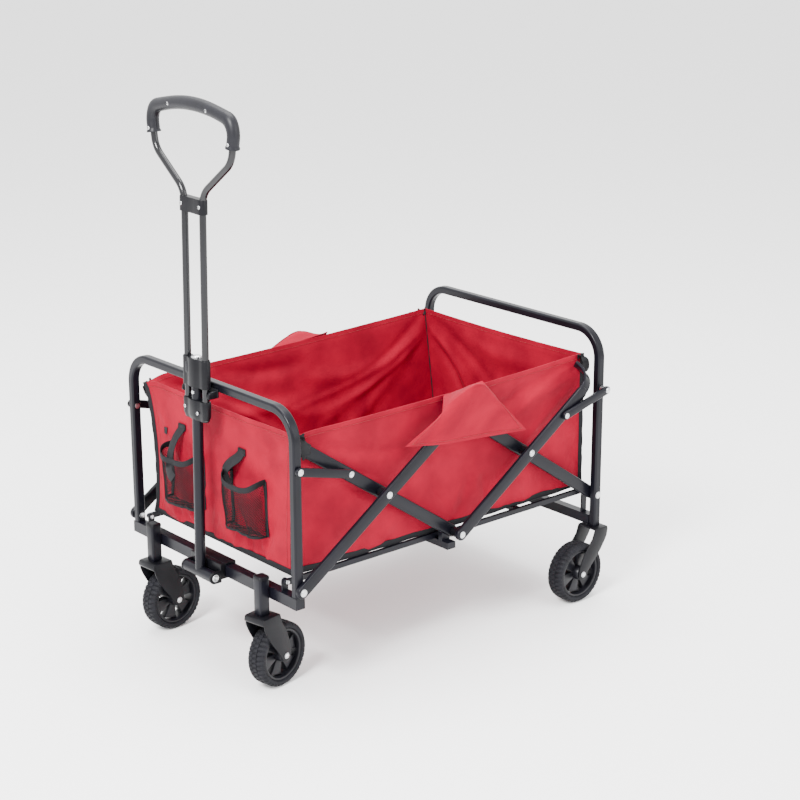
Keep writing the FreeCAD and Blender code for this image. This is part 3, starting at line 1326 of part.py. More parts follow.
# ---------------------------------------------------------------------------------------------
# Handle saddle on the cross bar, its pivot pin, and the clip on the top bar
# ---------------------------------------------------------------------------------------------
LUG_IN = "barrel_half + side_gap"
LUG_OUT = "saddle_half"
FRONT_BAR_FACE = "-frame_length / 2 - cross_depth / 2"
saddle_block = box(
    "saddle_block",
    ("0", f"{FRONT_LEG} - 3.5", FRONT_BAR_CENTRE),
    ("2 * saddle_half", "cross_depth + 16", "cross_height + 9"),
)
saddle_lugs = []
for side_name, side in SIDES:
    middle = f"{side} * ({LUG_IN} + {LUG_OUT}) / 2"
    cheek = box(
        f"saddle_cheek_{side_name}",
        (middle, f"({FRONT_BAR_FACE} - 4 - barrel_front) / 2", "barrel_height"),
        (f"{LUG_OUT} - ({LUG_IN})", f"barrel_front - 4 + ({FRONT_BAR_FACE})", "2 * saddle_eye"),
    )
    eye = side_rod(
        f"saddle_eye_{side_name}", side, "saddle_eye", LUG_IN, LUG_OUT, "-barrel_front", "barrel_height"
    )
    saddle_lugs += [cheek, eye]
saddle_pin_hole = rod(
    "saddle_pin_hole", "pin_radius", "-saddle_half - 1", "2 * saddle_half + 2",
    "-barrel_front", "barrel_height",
)
saddle_whole = fuse("saddle_whole", saddle_block, *saddle_lugs)
node("handle_saddle", cut("saddle", saddle_whole, fuse("saddle_tools", front_bar, saddle_pin_hole)))
handle_pin = rod(
    "handle_pin", "pin_radius", "-saddle_half", "2 * saddle_half", "-barrel_front", "barrel_height"
)
handle_pin_ends = [
    rod(f"handle_pin_end_{index}", "head_radius", start, "head_thick", "-barrel_front", "barrel_height")
    for index, start in enumerate(("-saddle_half - head_thick", "saddle_half"))
]
front_pins.append(fuse("handle_pivot_pin", handle_pin, *handle_pin_ends))
node("front_frame_fasteners", group("front_fastener_group", *front_pins))
node("rear_frame_fasteners", group("rear_fastener_group", *rear_pins, *rear_bolts))

TOP_BAR_FACE = "-frame_length / 2 - leg_depth / 2"
clip_pieces = [
    box(
        "clip_plate",
        ("0", f"{TOP_BAR_FACE} - 2", "front_top_height - 10"),
        ("2 * clip_half", "4", "16"),
    )
]
for side_name, side in SIDES:
    clip_pieces.append(
        box(
            f"clip_jaw_{side_name}",
            (f"{side} * (clip_half - 3.5)", f"{TOP_BAR_FACE} - 12", "front_top_height - 10.5"),
            ("6", "22", "15"),
        )
    )
node("handle_clip", fuse("clip", *clip_pieces))


# ---------------------------------------------------------------------------------------------
# Fabric basket, floor mat, cup pockets and side flaps
# ---------------------------------------------------------------------------------------------
BASKET_RISE = "basket_rim_rear + 20"


def tapered_tub(name, low, inset):
    """A tub whose walls lean: its length runs along the wedge's own depth."""
    item = doc.addObject("Part::Wedge", name)
    half = "basket_floor_half"
    grown = f"({half} + (basket_rim_half - {half}) * ({BASKET_RISE} - basket_floor) / (basket_rim_rear - basket_floor))"
    bind(
        item,
        Ymin=low, Ymax=BASKET_RISE,
        Xmin=f"{inset} - {half}", Xmax=f"{half} - {inset}",
        Zmin=f"{inset} - basket_rear", Zmax=f"basket_front - {inset}",
        X2min=f"{inset} - {grown}", X2max=f"{grown} - {inset}",
        Z2min=f"{inset} - basket_rear + basket_rear_lean", Z2max=f"basket_front + 3 - {inset}",
    )
    return place(item, axis=(1, 0, 0), angle="90")


tub = tapered_tub("tub_outside", "basket_floor", "0")
hollow = tapered_tub("tub_inside", "basket_floor + cloth_wall", "cloth_wall")
rim_angle = "atan((basket_rim_rear - basket_rim_front) / (basket_front + basket_rear - basket_rear_lean))"
above = doc.addObject("Part::Box", "above_rim")
bind(above, Length="4 * basket_rim_half", Width="2 * frame_length", Height="200")
above.Placement = FreeCAD.Placement(Vector(), FreeCAD.Rotation(Vector(1, 0, 0), value(rim_angle)))
above.setExpression("Placement.Rotation.Angle", sized(rim_angle))
above.setExpression("Placement.Base.x", sized("-2 * basket_rim_half"))
above.setExpression("Placement.Base.y", sized("-basket_front - 100 + y_shift"))
above.setExpression("Placement.Base.z", sized(f"basket_rim_front - 100 * tan({rim_angle})"))
node("basket", cut("basket_trimmed", cut("basket_shell", tub, hollow), above))

MAT_LOW = "basket_floor + cloth_wall"
MAT_FRONT = "basket_front - cloth_wall - mat_clear / 2"
MAT_REAR = "basket_rear - cloth_wall - mat_clear / 2"
MAT_HALF = "(basket_floor_half - cloth_wall - mat_clear / 2)"
PANEL = f"({MAT_FRONT} + {MAT_REAR}) / 4"
mat_pieces = [
    box(
        "mat_skin",
        ("0", f"({MAT_REAR} - ({MAT_FRONT})) / 2", f"{MAT_LOW} + 0.6"),
        (f"2 * {MAT_HALF}", f"{MAT_FRONT} + {MAT_REAR}", "1.2"),
    )
]
for index in range(4):
    mat_pieces.append(
        box(
            f"mat_panel_{index}",
            ("0", f"{index + 0.5} * {PANEL} - ({MAT_FRONT})", f"{MAT_LOW} + mat_thick / 2"),
            (f"2 * {MAT_HALF}", f"{PANEL} - 4", "mat_thick"),
        )
    )
node("floor_mat", fuse("mat", *mat_pieces))


def cup_pocket(name, side):
    """An open pocket on the front wall, wide at the wall and narrower in front."""
    shells = []
    for kind, wall, low in (("outside", "0", "pocket_bottom"), ("inside", "1.5", "pocket_bottom + 1.5")):
        body = new_body(f"{name}_{kind}")
        outline = body_sketch(body, f"{name}_{kind}_outline", "XY_Plane")
        polygon(
            outline,
            [
                (f"{wall} - pocket_half", "6"), (f"{wall} - pocket_half", "-5"),
                (f"{wall} - pocket_half + 14", f"{wall} - pocket_depth"),
                (f"pocket_half - 14 - {wall}", f"{wall} - pocket_depth"),
                (f"pocket_half - {wall}", "-5"), (f"pocket_half - {wall}", "6"),
            ],
        )
        pad(body, outline, f"pocket_top - ({low}) + {1 if kind == 'inside' else 0}")
        place(body, f"{side} * pocket_x", "-basket_front", low)
        shells.append(body)
    return cut(name, cut(f"{name}_bag", *shells), tub)


strap_pieces = []
for side_name, side in SIDES:
    node(f"cup_pocket_{side_name}", cup_pocket(f"cup_pocket_solid_{side_name}", side))
    band = box(
        f"strap_band_{side_name}",
        (f"{side} * (pocket_x - 18)", "-basket_front - 2.6", "pocket_top + 22"),
        ("22", "6", "42"),
    )
    strap_pieces.append(cut(f"strap_{side_name}", band, tub))
node("pocket_straps", group("strap_pair", *strap_pieces))

FLAP_IN = f"{OUTER_OUT} + head_thick + 1.2"
flaps = []
for side_name, side in SIDES:
    skirt_body = new_body(f"flap_skirt_{side_name}")
    outline = body_sketch(skirt_body, f"flap_outline_{side_name}", "YZ_Plane")
    polygon(
        outline,
        [
            ("-149", "441"), ("-27", "420"), ("157", "408"), ("150", "440"),
            ("95", "basket_rim_rear - 8"), ("68", "basket_rim_rear + 1"), ("-85", "basket_rim_rear - 6"),
        ],
    )
    pad(skirt_body, outline, "flap_thick")
    place(skirt_body, x_start(side, FLAP_IN, f"{FLAP_IN} + flap_thick"), "0", "0")
    roof_body = new_body(f"flap_roof_{side_name}")
    edge = body_sketch(roof_body, f"flap_roof_outline_{side_name}", "YZ_Plane")
    polygon(
        edge,
        [
            ("-85", "basket_rim_rear - 6"), ("-85", "basket_rim_rear - 9"), ("68", "basket_rim_rear - 2"),
            ("95", "basket_rim_rear - 11"), ("95", "basket_rim_rear - 8"), ("68", "basket_rim_rear + 1"),
        ],
    )
    roof_in = "basket_rim_half + 1.5"
    pad(roof_body, edge, f"{FLAP_IN} + flap_thick - ({roof_in})")
    place(roof_body, x_start(side, roof_in, f"{FLAP_IN} + flap_thick"), "0", "0")
    flaps.append(fuse(f"flap_{side_name}", skirt_body, roof_body))
node("side_flaps", group("flap_pair", *flaps))

# ---------------------------------------------------------------------------------------------
# Checks and export
# ---------------------------------------------------------------------------------------------
doc.recompute()
for item in doc.Objects:
    if "Invalid" in item.State or "Error" in item.State:
        raise RuntimeError(f"{item.Label} did not build: {item.State}")
for item in NODES:
    if item.Shape.isNull() or not item.Shape.isValid():
        raise RuntimeError(f"{item.Label} has no valid shape")
    item.Shape.exportStep(f"parts/{item.Label}.step")
print(f"{len(NODES)} nodes")
for item in NODES:
    extent = item.Shape.BoundBox
    print(
        f"{item.Label:28s} {len(item.Shape.Solids)} {item.Shape.Volume / 1000:8.2f}"
        f" x {extent.XMin:7.1f} {extent.XMax:7.1f} y {extent.YMin:7.1f} {extent.YMax:7.1f}"
        f" z {extent.ZMin:7.1f} {extent.ZMax:7.1f}"
    )
whole = Part.makeCompound([item.Shape for item in NODES]).optimalBoundingBox()
print(f"x {whole.XMin:.2f} {whole.XMax:.2f}, y {whole.YMin:.2f} {whole.YMax:.2f}, z {whole.ZMax:.2f}")
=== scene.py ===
"""Dresses a folding wagon: a fabric tub in a scissor frame, on casters, with a telescopic loop handle.

Lengths in the classes are millimetres. Heights are from the floor, and lengths along the wagon are from
the middle of its frame; `at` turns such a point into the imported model's frame, in metres.
"""

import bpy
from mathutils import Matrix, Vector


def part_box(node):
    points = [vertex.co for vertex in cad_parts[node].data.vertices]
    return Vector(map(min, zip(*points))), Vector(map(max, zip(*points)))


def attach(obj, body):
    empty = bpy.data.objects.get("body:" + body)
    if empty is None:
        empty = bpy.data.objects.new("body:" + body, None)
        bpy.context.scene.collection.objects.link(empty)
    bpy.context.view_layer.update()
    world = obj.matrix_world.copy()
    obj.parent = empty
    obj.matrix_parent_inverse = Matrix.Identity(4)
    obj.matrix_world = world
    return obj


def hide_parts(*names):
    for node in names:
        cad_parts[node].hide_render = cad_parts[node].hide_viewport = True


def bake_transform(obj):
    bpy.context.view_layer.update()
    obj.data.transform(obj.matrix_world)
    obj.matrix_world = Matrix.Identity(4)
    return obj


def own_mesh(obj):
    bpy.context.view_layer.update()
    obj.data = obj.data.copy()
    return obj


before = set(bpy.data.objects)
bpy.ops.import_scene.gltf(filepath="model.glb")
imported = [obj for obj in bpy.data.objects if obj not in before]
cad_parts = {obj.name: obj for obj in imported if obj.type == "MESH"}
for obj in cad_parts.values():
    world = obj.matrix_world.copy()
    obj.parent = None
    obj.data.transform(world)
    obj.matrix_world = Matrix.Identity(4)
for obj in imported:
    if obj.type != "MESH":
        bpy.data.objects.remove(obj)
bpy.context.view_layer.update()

import logging
import math
import random
from dataclasses import dataclass, field
from enum import Enum
from typing import Callable, Sequence

import bmesh
import bpy
from mathutils import Matrix, Vector, noise

LOG = logging.getLogger("wagon")
MM = 0.001
FRONT_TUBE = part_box("front_frame_tube")
SHIFT = (FRONT_TUBE[0].y + FRONT_TUBE[1].y) / 2 + 380 * MM

Outline = Sequence[tuple[float, float]]
Points = tuple[tuple[float, float, float], ...]


def at(x: float, y: float, z: float) -> Vector:
    """Turns millimetres from the frame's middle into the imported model's metres."""
    return Vector((x * MM, y * MM + SHIFT, z * MM))


class Side(Enum):
    """The two sides of the wagon, seen from behind it."""

    LEFT = -1
    RIGHT = 1

    @property
    def word(self) -> str:
        """The side's name in node and piece names."""
        return self.name.lower()


# ---- Finishes
def linear(code: str, alpha: float = 1.0) -> tuple[float, float, float, float]:
    """Turns an sRGB hex colour into linear values.

    Args:
        code: six hex digits.
        alpha: opacity.

    Returns:
        Linear red, green and blue, and alpha.
    """
    channels = [int(code[i:i + 2], 16) / 255 for i in (0, 2, 4)]
    red, green, blue = [c / 12.92 if c <= 0.04045 else ((c + 0.055) / 1.055) ** 2.4 for c in channels]
    return red, green, blue, alpha


def add_node(tree: bpy.types.NodeTree, kind: str, inputs: dict | None = None, **settings) -> bpy.types.Node:
    """Adds a node with its settings and links.

    Args:
        tree: the material's node tree.
        kind: the node's type name.
        inputs: socket name or index to a value, or to the output socket that feeds it.
        **settings: properties of the node.

    Returns:
        The new node.
    """
    made = tree.nodes.new(kind)
    for name, setting in settings.items():
        setattr(made, name, setting)
    for key, given in (inputs or {}).items():
        if isinstance(given, bpy.types.NodeSocket):
            tree.links.new(given, made.inputs[key])
        else:
            made.inputs[key].default_value = given
    return made


def ramp(
    tree: bpy.types.NodeTree, factor: bpy.types.NodeSocket, stops: Sequence[tuple[float, str]]
) -> bpy.types.NodeSocket:
    """Maps a factor to colours.

    Args:
        tree: the material's node tree.
        factor: the socket that drives the ramp.
        stops: positions and hex colours.

    Returns:
        The ramp's colour output.
    """
    made = add_node(tree, "ShaderNodeValToRGB", {"Fac": factor})
    elements = made.color_ramp.elements
    for index, (place, code) in enumerate(stops):
        element = elements[index] if index < 2 else elements.new(place)
        element.position = place
        element.color = linear(code)
    return made.outputs["Color"]


@dataclass(frozen=True)
class Finish:
    """What every finish has: a name, gloss and the sizes of its patterns."""

    name: str
    light: str
    dark: str
    roughness: float
    ior: float = 1.5
    metallic: float = 0.0
    gloss: float = 0.5

    def shader(self, tree: bpy.types.NodeTree) -> bpy.types.Node:
        """Sets this finish's constants.

        Args:
            tree: the material's node tree.

        Returns:
            The principled shader.
        """
        made = next(n for n in tree.nodes if n.type == "BSDF_PRINCIPLED")
        made.inputs["Roughness"].default_value = self.roughness
        made.inputs["Metallic"].default_value = self.metallic
        if not self.metallic:
            made.inputs["IOR"].default_value = self.ior
            made.inputs["Specular IOR Level"].default_value = self.gloss
        return made

    def dress(self, tree: bpy.types.NodeTree, shader: bpy.types.Node) -> None:
        """Adds this finish's own pattern.

        Args:
            tree: the material's node tree.
            shader: its principled shader.
        """

    def material(self) -> bpy.types.Material:
        """Makes the material once.

        Returns:
            The material.
        """
        found = bpy.data.materials.get(self.name)
        if found:
            return found
        made = bpy.data.materials.new(self.name)
        made.use_nodes = True
        made.diffuse_color = linear(self.light)
        self.dress(made.node_tree, self.shader(made.node_tree))
        return made


def mottle(
    tree: bpy.types.NodeTree, size_mm: float, detail: float = 3.0, coords: str = "Object"
) -> bpy.types.NodeSocket:
    """Noise whose blotches are about size_mm across.

    Args:
        tree: the material's node tree.
        size_mm: size of a blotch.
        detail: octaves.
        coords: the texture coordinate to use.

    Returns:
        The noise's factor output.
    """
    place = add_node(tree, "ShaderNodeTexCoord")
    made = add_node(
        tree, "ShaderNodeTexNoise",
        {"Vector": place.outputs[coords], "Scale": 1 / (size_mm * MM), "Detail": detail},
    )
    return made.outputs["Fac"]


def raised(
    tree: bpy.types.NodeTree, shader: bpy.types.Node, height: bpy.types.NodeSocket, depth_mm: float,
    strength: float = 1.0,
) -> None:
    """Feeds a height pattern to the shader's normal.

    Args:
        tree: the material's node tree.
        shader: the principled shader.
        height: the pattern, from 0 to 1.
        depth_mm: how deep the pattern is.
        strength: how much of it shows.
    """
    bump = add_node(
        tree, "ShaderNodeBump", {"Height": height, "Distance": depth_mm * MM, "Strength": strength}
    )
    tree.links.new(bump.outputs["Normal"], shader.inputs["Normal"])


@dataclass(frozen=True)
class PowderCoat(Finish):
    """Polyester powder coat baked on steel tube: satin near-black with a fine orange peel."""

    peel_mm: float = 2.2

    def dress(self, tree: bpy.types.NodeTree, shader: bpy.types.Node) -> None:
        """Orange peel, and a slight change of tone along the tube.

        Args:
            tree: the material's node tree.
            shader: its principled shader.
        """
        tone = ramp(tree, mottle(tree, 60), [(0.3, self.dark), (0.7, self.light)])
        tree.links.new(tone, shader.inputs["Base Color"])
        gloss = add_node(
            tree, "ShaderNodeMapRange",
            {"Value": mottle(tree, 25), "To Min": self.roughness - 0.06, "To Max": self.roughness + 0.08},
        )
        tree.links.new(gloss.outputs["Result"], shader.inputs["Roughness"])
        raised(tree, shader, mottle(tree, self.peel_mm, 1.0), 0.05, 0.6)


@dataclass(frozen=True)
class ZincPlate(Finish):
    """Bright zinc on pressed steel rivets and bolts: pale metal, faintly brushed by handling."""

    def dress(self, tree: bpy.types.NodeTree, shader: bpy.types.Node) -> None:
        """Small scuffs in tone and gloss.

        Args:
            tree: the material's node tree.
            shader: its principled shader.
        """
        scuff = mottle(tree, 2.5, 4.0)
        tree.links.new(
            ramp(tree, scuff, [(0.35, self.dark), (0.65, self.light)]), shader.inputs["Base Color"]
        )
        raised(tree, shader, scuff, 0.04, 0.4)


@dataclass(frozen=True)
class MouldedNylon(Finish):
    """Glass-filled nylon moulding: black, softly shining, with a spark-eroded grain."""

    grain_mm: float = 1.4

    def dress(self, tree: bpy.types.NodeTree, shader: bpy.types.Node) -> None:
        """Spark-eroded grain and faint flow marks.

        Args:
            tree: the material's node tree.
            shader: its principled shader.
        """
        tone = ramp(tree, mottle(tree, 22), [(0.3, self.dark), (0.7, self.light)])
        tree.links.new(tone, shader.inputs["Base Color"])
        raised(tree, shader, mottle(tree, self.grain_mm, 2.0), 0.08, 0.5)


@dataclass(frozen=True)
class TyreRubber(Finish):
    """Foamed rubber tyre: dull, dusty black with a fine sipe texture."""

    def dress(self, tree: bpy.types.NodeTree, shader: bpy.types.Node) -> None:
        """Dust in patches over the rubber, and a fine skin.

        Args:
            tree: the material's node tree.
            shader: its principled shader.
        """
        tone = ramp(tree, mottle(tree, 12, 5.0), [(0.35, self.dark), (0.75, self.light)])
        tree.links.new(tone, shader.inputs["Base Color"])
        raised(tree, shader, mottle(tree, 1.2, 2.0), 0.12, 0.6)


@dataclass(frozen=True)
class Oxford(Finish):
    """Coated polyester oxford: a plain weave of flat yarns that scatters light over its folds.

    The real yarns are about 0.5 mm apart, too fine to show, so they are drawn yarn_mm apart.
    """

    yarn_mm: float = 1.7
    sheen: float = 0.01

    def dress(self, tree: bpy.types.NodeTree, shader: bpy.types.Node) -> None:
        """Warp and weft as bump and tone, over slow changes of dye and handling creases.

        Args:
            tree: the material's node tree.
            shader: its principled shader.
        """
        shader.inputs["Sheen Weight"].default_value = self.sheen
        shader.inputs["Sheen Roughness"].default_value = 0.5
        cloth = add_node(tree, "ShaderNodeUVMap", uv_map="cloth")
        scale = 1 / (self.yarn_mm * MM) * math.tau / 20
        warp, weft = (
            add_node(
                tree, "ShaderNodeTexWave", {"Vector": cloth.outputs["UV"], "Scale": scale, "Distortion": 0.0},
                wave_type="BANDS", bands_direction=direction,
            )
            for direction in ("X", "Y")
        )
        weave = add_node(
            tree, "ShaderNodeMath", {0: warp.outputs["Fac"], 1: weft.outputs["Fac"]}, operation="MULTIPLY"
        )
        slow = add_node(
            tree, "ShaderNodeTexNoise",
            {"Vector": cloth.outputs["UV"], "Scale": 1 / (70 * MM), "Detail": 4.0},
        )
        tone = add_node(
            tree, "ShaderNodeMath",
            {0: weave.outputs["Value"], 1: 0.22, 2: slow.outputs["Fac"]}, operation="MULTIPLY_ADD",
        )
        colour = ramp(tree, tone.outputs["Value"], [(0.34, self.dark), (0.72, self.light)])
        tree.links.new(colour, shader.inputs["Base Color"])
        crease = add_node(
            tree, "ShaderNodeTexNoise",
            {"Vector": cloth.outputs["UV"], "Scale": 1 / (26 * MM), "Detail": 3.0, "Distortion": 0.6},
        )
        height = add_node(
            tree, "ShaderNodeMath",
            {0: crease.outputs["Fac"], 1: 6.0, 2: weave.outputs["Value"]}, operation="MULTIPLY_ADD",
        )
        raised(tree, shader, height.outputs["Value"], 0.18, 0.55)


@dataclass(frozen=True)
class Ribbed(Finish):
    """Woven polypropylene tape or elastic: fine cross ribs rib_mm apart and a matt face."""

    rib_mm: float = 1.8

    def dress(self, tree: bpy.types.NodeTree, shader: bpy.types.Node) -> None:
        """Ribs across the tape.

        Args:
            tree: the material's node tree.
            shader: its principled shader.
        """
        cloth = add_node(tree, "ShaderNodeUVMap", uv_map="cloth")
        rib = add_node(
            tree, "ShaderNodeTexWave",
            {"Vector": cloth.outputs["UV"], "Scale": 1 / (self.rib_mm * MM) * math.tau / 20},
            wave_type="BANDS", bands_direction="X",
        )
        tree.links.new(
            ramp(tree, rib.outputs["Fac"], [(0.2, self.dark), (0.8, self.light)]), shader.inputs["Base Color"]
        )
        raised(tree, shader, rib.outputs["Fac"], 0.25, 0.7)


POWDER = PowderCoat("Powder_coat_charcoal", "0b0b12", "07070c", 0.3, gloss=0.15)
ZINC = ZincPlate("Zinc_plated_steel", "d6d7d8", "a9aaac", 0.3, metallic=1.0)
NYLON = MouldedNylon("Moulded_nylon_black", "0a0a0e", "060609", 0.38, gloss=0.14)
GRIP = MouldedNylon("Moulded_grip_polypropylene", "131318", "0d0d11", 0.42, grain_mm=1.8, gloss=0.2)
HUB = MouldedNylon("Moulded_hub_polypropylene", "101015", "0b0b0f", 0.34, gloss=0.22)
GLOSS_TUBE = PowderCoat("Gloss_coat_handle_tube", "0e0e12", "09090c", 0.16, gloss=0.35)
TYRE = TyreRubber("Foamed_tyre_rubber", "131318", "0b0b0f", 0.66, gloss=0.15)
RED_OXFORD = Oxford("Polyester_oxford_red", "84001f", "6a0017", 0.7, gloss=0.08)
RED_LINING = Oxford("Polyester_oxford_mat_red", "7e0014", "64000e", 0.72, yarn_mm=2.2, gloss=0.12)
BLACK_TAPE = Ribbed("Grosgrain_binding_black", "18181b", "0b0b0d", 0.7, gloss=0.12)
WEBBING = Ribbed("Polypropylene_webbing_black", "19191c", "0a0a0c", 0.62, rib_mm=2.4, gloss=0.15)
NETTING = Ribbed("Polyester_netting_black", "161618", "0d0d0f", 0.7, gloss=0.1)
THREAD = Ribbed("Polyester_thread_red", "7e000a", "640008", 0.55, rib_mm=0.6)
SILVER = ZincPlate("Vacuum_metallised_cap", "e4e4e6", "cfcfd2", 0.18, metallic=1.0)


# ---- Mesh building
@dataclass
class MeshBag:
    """Gathers parts of one piece and makes it."""

    points: list[Vector] = field(default_factory=list)
    faces: list[tuple[int, ...]] = field(default_factory=list)
    cloth: list[tuple[float, float]] = field(default_factory=list)

    def add(
        self, points: Sequence[Vector], faces: Sequence[Sequence[int]],
        cloth: Sequence[tuple[float, float]] = (),
    ) -> None:
        """Adds points and faces.

        Args:
            points: new points, in metres.
            faces: their faces, counted from the first new point.
            cloth: the points' places on the cloth; their own places stand in for it.
        """
        first = len(self.points)
        self.points.extend(points)
        self.faces.extend(tuple(first + i for i in face) for face in faces)
        self.cloth.extend(cloth or [(p.x + p.y, p.z) for p in points])

    def rings(
        self, points: Sequence[Vector], size: int, closed: bool = False,
        cloth: Sequence[tuple[float, float]] = (),
    ) -> None:
        """Joins rings of points into a skin, capped at both ends unless it closes on itself.

        Args:
            points: the rings' points, ring after ring.
            size: points in a ring.
            closed: whether the last ring joins the first.
            cloth: the points' places on the cloth.
        """
        count = len(points) // size
        faces: list[tuple[int, ...]] = []
        for i in range(count if closed else count - 1):
            j = (i + 1) % count
            for k in range(size):
                n = (k + 1) % size
                faces.append((i * size + k, i * size + n, j * size + n, j * size + k))
        if not closed:
            faces.append(tuple(reversed(range(size))))
            faces.append(tuple((count - 1) * size + k for k in range(size)))
        self.add(points, faces, cloth)

    def box(self, low: Vector, high: Vector) -> None:
        """Adds a box between two corners.

        Args:
            low: its lowest corner, in metres.
            high: its highest corner.
        """
        points = [
            Vector((x, y, z)) for x in (low.x, high.x) for y in (low.y, high.y) for z in (low.z, high.z)
        ]
        faces = [(0, 1, 3, 2), (4, 6, 7, 5), (0, 4, 5, 1), (2, 3, 7, 6), (0, 2, 6, 4), (1, 5, 7, 3)]
        self.add(points, faces)

    def lathe(self, centre: Vector, axis: Vector, profile: Outline, steps: int = 32) -> None:
        """Adds a turned part.

        Args:
            centre: where the axis begins, in metres.
            axis: its direction.
            profile: distance along the axis and radius, in millimetres.
            steps: sides around.
        """
        along = axis.normalized()
        across = along.orthogonal().normalized()
        other = along.cross(across)
        points = [
            centre + along * (a * MM) + (across * math.cos(t) + other * math.sin(t)) * (max(r, 0.01) * MM)
            for a, r in profile
            for t in (math.tau * k / steps for k in range(steps))
        ]
        self.rings(points, steps)

    def sweep(
        self, path: Sequence[Vector], section: Outline | Callable[[float], Outline],
        up: Vector = Vector((0, 0, 1)), closed: bool = False,
    ) -> None:
        """Adds a section carried along a path.

        Args:
            path: centreline points in metres.
            section: points across, (sideways, upwards) in millimetres, or a function of the way along.
            up: rough direction of the section's upward side.
            closed: whether the path joins its start.
        """
        count = len(path)
        rings: list[Vector] = []
        cloth: list[tuple[float, float]] = []
        travel = 0.0
        size = 0
        for i, point in enumerate(path):
            before = path[i - 1] if i or closed else path[i]
            after = path[(i + 1) % count] if i < count - 1 or closed else path[i]
            tangent = (after - before).normalized()
            side = tangent.cross(up).normalized()
            top = side.cross(tangent)
            outline = section(i / (count - 1)) if callable(section) else section
            size = len(outline)
            if i:
                travel += (point - path[i - 1]).length
            for k, (a, b) in enumerate(outline):
                rings.append(point + side * (a * MM) + top * (b * MM))
                cloth.append((travel, k * 0.004))
        self.rings(rings, size, closed, cloth)

    def prism(self, outline: Sequence[Vector], direction: Vector) -> None:
        """Adds an outline extruded along a direction.

        Args:
            outline: its points in turn, in metres.
            direction: how far and which way it is extruded.
        """
        count = len(outline)
        points = list(outline) + [p + direction for p in outline]
        faces = [tuple(reversed(range(count))), tuple(range(count, 2 * count))]
        faces += [(k, (k + 1) % count, count + (k + 1) % count, count + k) for k in range(count)]
        self.add(points, faces)

    def sheet(self, surface: Callable[[float, float], Vector], across: int, down: int) -> None:
        """Adds an open surface sampled on a grid, with cloth coordinates along its own lengths.

        Args:
            surface: maps two numbers from 0 to 1 to a point in metres.
            across: cells along the first number.
            down: cells along the second.
        """
        grid = [[surface(i / across, j / down) for i in range(across + 1)] for j in range(down + 1)]
        points: list[Vector] = []
        cloth: list[tuple[float, float]] = []
        for j, row in enumerate(grid):
            travel = 0.0
            for i, point in enumerate(row):
                travel += (point - row[i - 1]).length if i else 0.0
                points.append(point)
                cloth.append((travel, (grid[j][0] - grid[0][0]).length))
        wide = across + 1
        faces = [
            (j * wide + i, j * wide + i + 1, (j + 1) * wide + i + 1, (j + 1) * wide + i)
            for j in range(down)
            for i in range(across)
        ]
        self.add(points, faces, cloth)

    def make(
        self, name: str, finish: Finish, body: str, slot: str, *, replaces: Sequence[str] = (),
        bevel: float = 0.0, thick: float = 0.0, smooth: float = 40.0, segments: int = 3,
    ) -> bpy.types.Object:
        """Makes the piece, dresses it and says what it rides on.

        Args:
            name: the piece's name.
            finish: its finish.
            body: the body it rides on, or nothing, which leaves it on no body.
            slot: the record's material slot; not used.
            replaces: CAD nodes it stands for.
            bevel: rounding of its sharp edges, in millimetres.
            thick: thickness given to an open sheet, in millimetres.
            smooth: edges sharper than this angle stay sharp.
            segments: steps of the rounding.

        Returns:
            The piece.
        """
        mesh = bpy.data.meshes.new(name)
        mesh.from_pydata([tuple(p) for p in self.points], [], self.faces)
        layer = mesh.uv_layers.new(name="cloth")
        for loop in mesh.loops:
            layer.data[loop.index].uv = self.cloth[loop.vertex_index]
        work = bmesh.new()
        work.from_mesh(mesh)
        if not thick:
            bmesh.ops.recalc_face_normals(work, faces=work.faces[:])
        work.to_mesh(mesh)
        work.free()
        piece = bpy.data.objects.new(name, mesh)
        bpy.context.scene.collection.objects.link(piece)
        if thick:
            shell = piece.modifiers.new("shell", "SOLIDIFY")
            shell.thickness = thick * MM
            shell.offset = 0.0
            shell.use_even_offset = False
        if bevel:
            edge = piece.modifiers.new("edge", "BEVEL")
            edge.width = bevel * MM
            edge.segments = segments
            edge.limit_method = "ANGLE"
            edge.angle_limit = math.radians(40)
            edge.harden_normals = False
        if bevel or thick:
            bake_modifiers(piece)
        piece.data.shade_smooth()
        piece.data.set_sharp_from_angle(angle=math.radians(smooth))
        piece.data.materials.clear()
        piece.data.materials.append(finish.material())
        if body:
            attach(piece, body)
        if replaces:
            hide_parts(*replaces)
        LOG.info("%s: %d faces on %s", name, len(piece.data.polygons), body)
        return piece


def bake_modifiers(piece: bpy.types.Object) -> None:
    """Applies a piece's modifiers to its mesh.

    Args:
        piece: the piece.
    """
    graph = bpy.context.evaluated_depsgraph_get()
    graph.update()
    mesh = bpy.data.meshes.new_from_object(piece.evaluated_get(graph))
    piece.modifiers.clear()
    piece.data = mesh


def circle(radius: float, steps: int = 16) -> list[tuple[float, float]]:
    """Points round a circle, in millimetres."""
    turns = (math.tau * k / steps for k in range(steps))
    return [(radius * math.cos(a), radius * math.sin(a)) for a in turns]


def rounded_rect(width: float, height: float, corner: float, steps: int = 4) -> list[tuple[float, float]]:
    """Points round a rectangle with round corners.

    Args:
        width: its size sideways, in millimetres.
        height: its size upwards.
        corner: radius of its corners.
        steps: steps round each corner.

    Returns:
        Its points in turn.
    """
    points = []
    for sx, sy, turn in ((1, 1, 0), (-1, 1, 1), (-1, -1, 2), (1, -1, 3)):
        cx, cy = sx * (width / 2 - corner), sy * (height / 2 - corner)
        for k in range(steps + 1):
            angle = (turn + k / steps) * math.pi / 2
            points.append((cx + corner * math.cos(angle), cy + corner * math.sin(angle)))
    return points


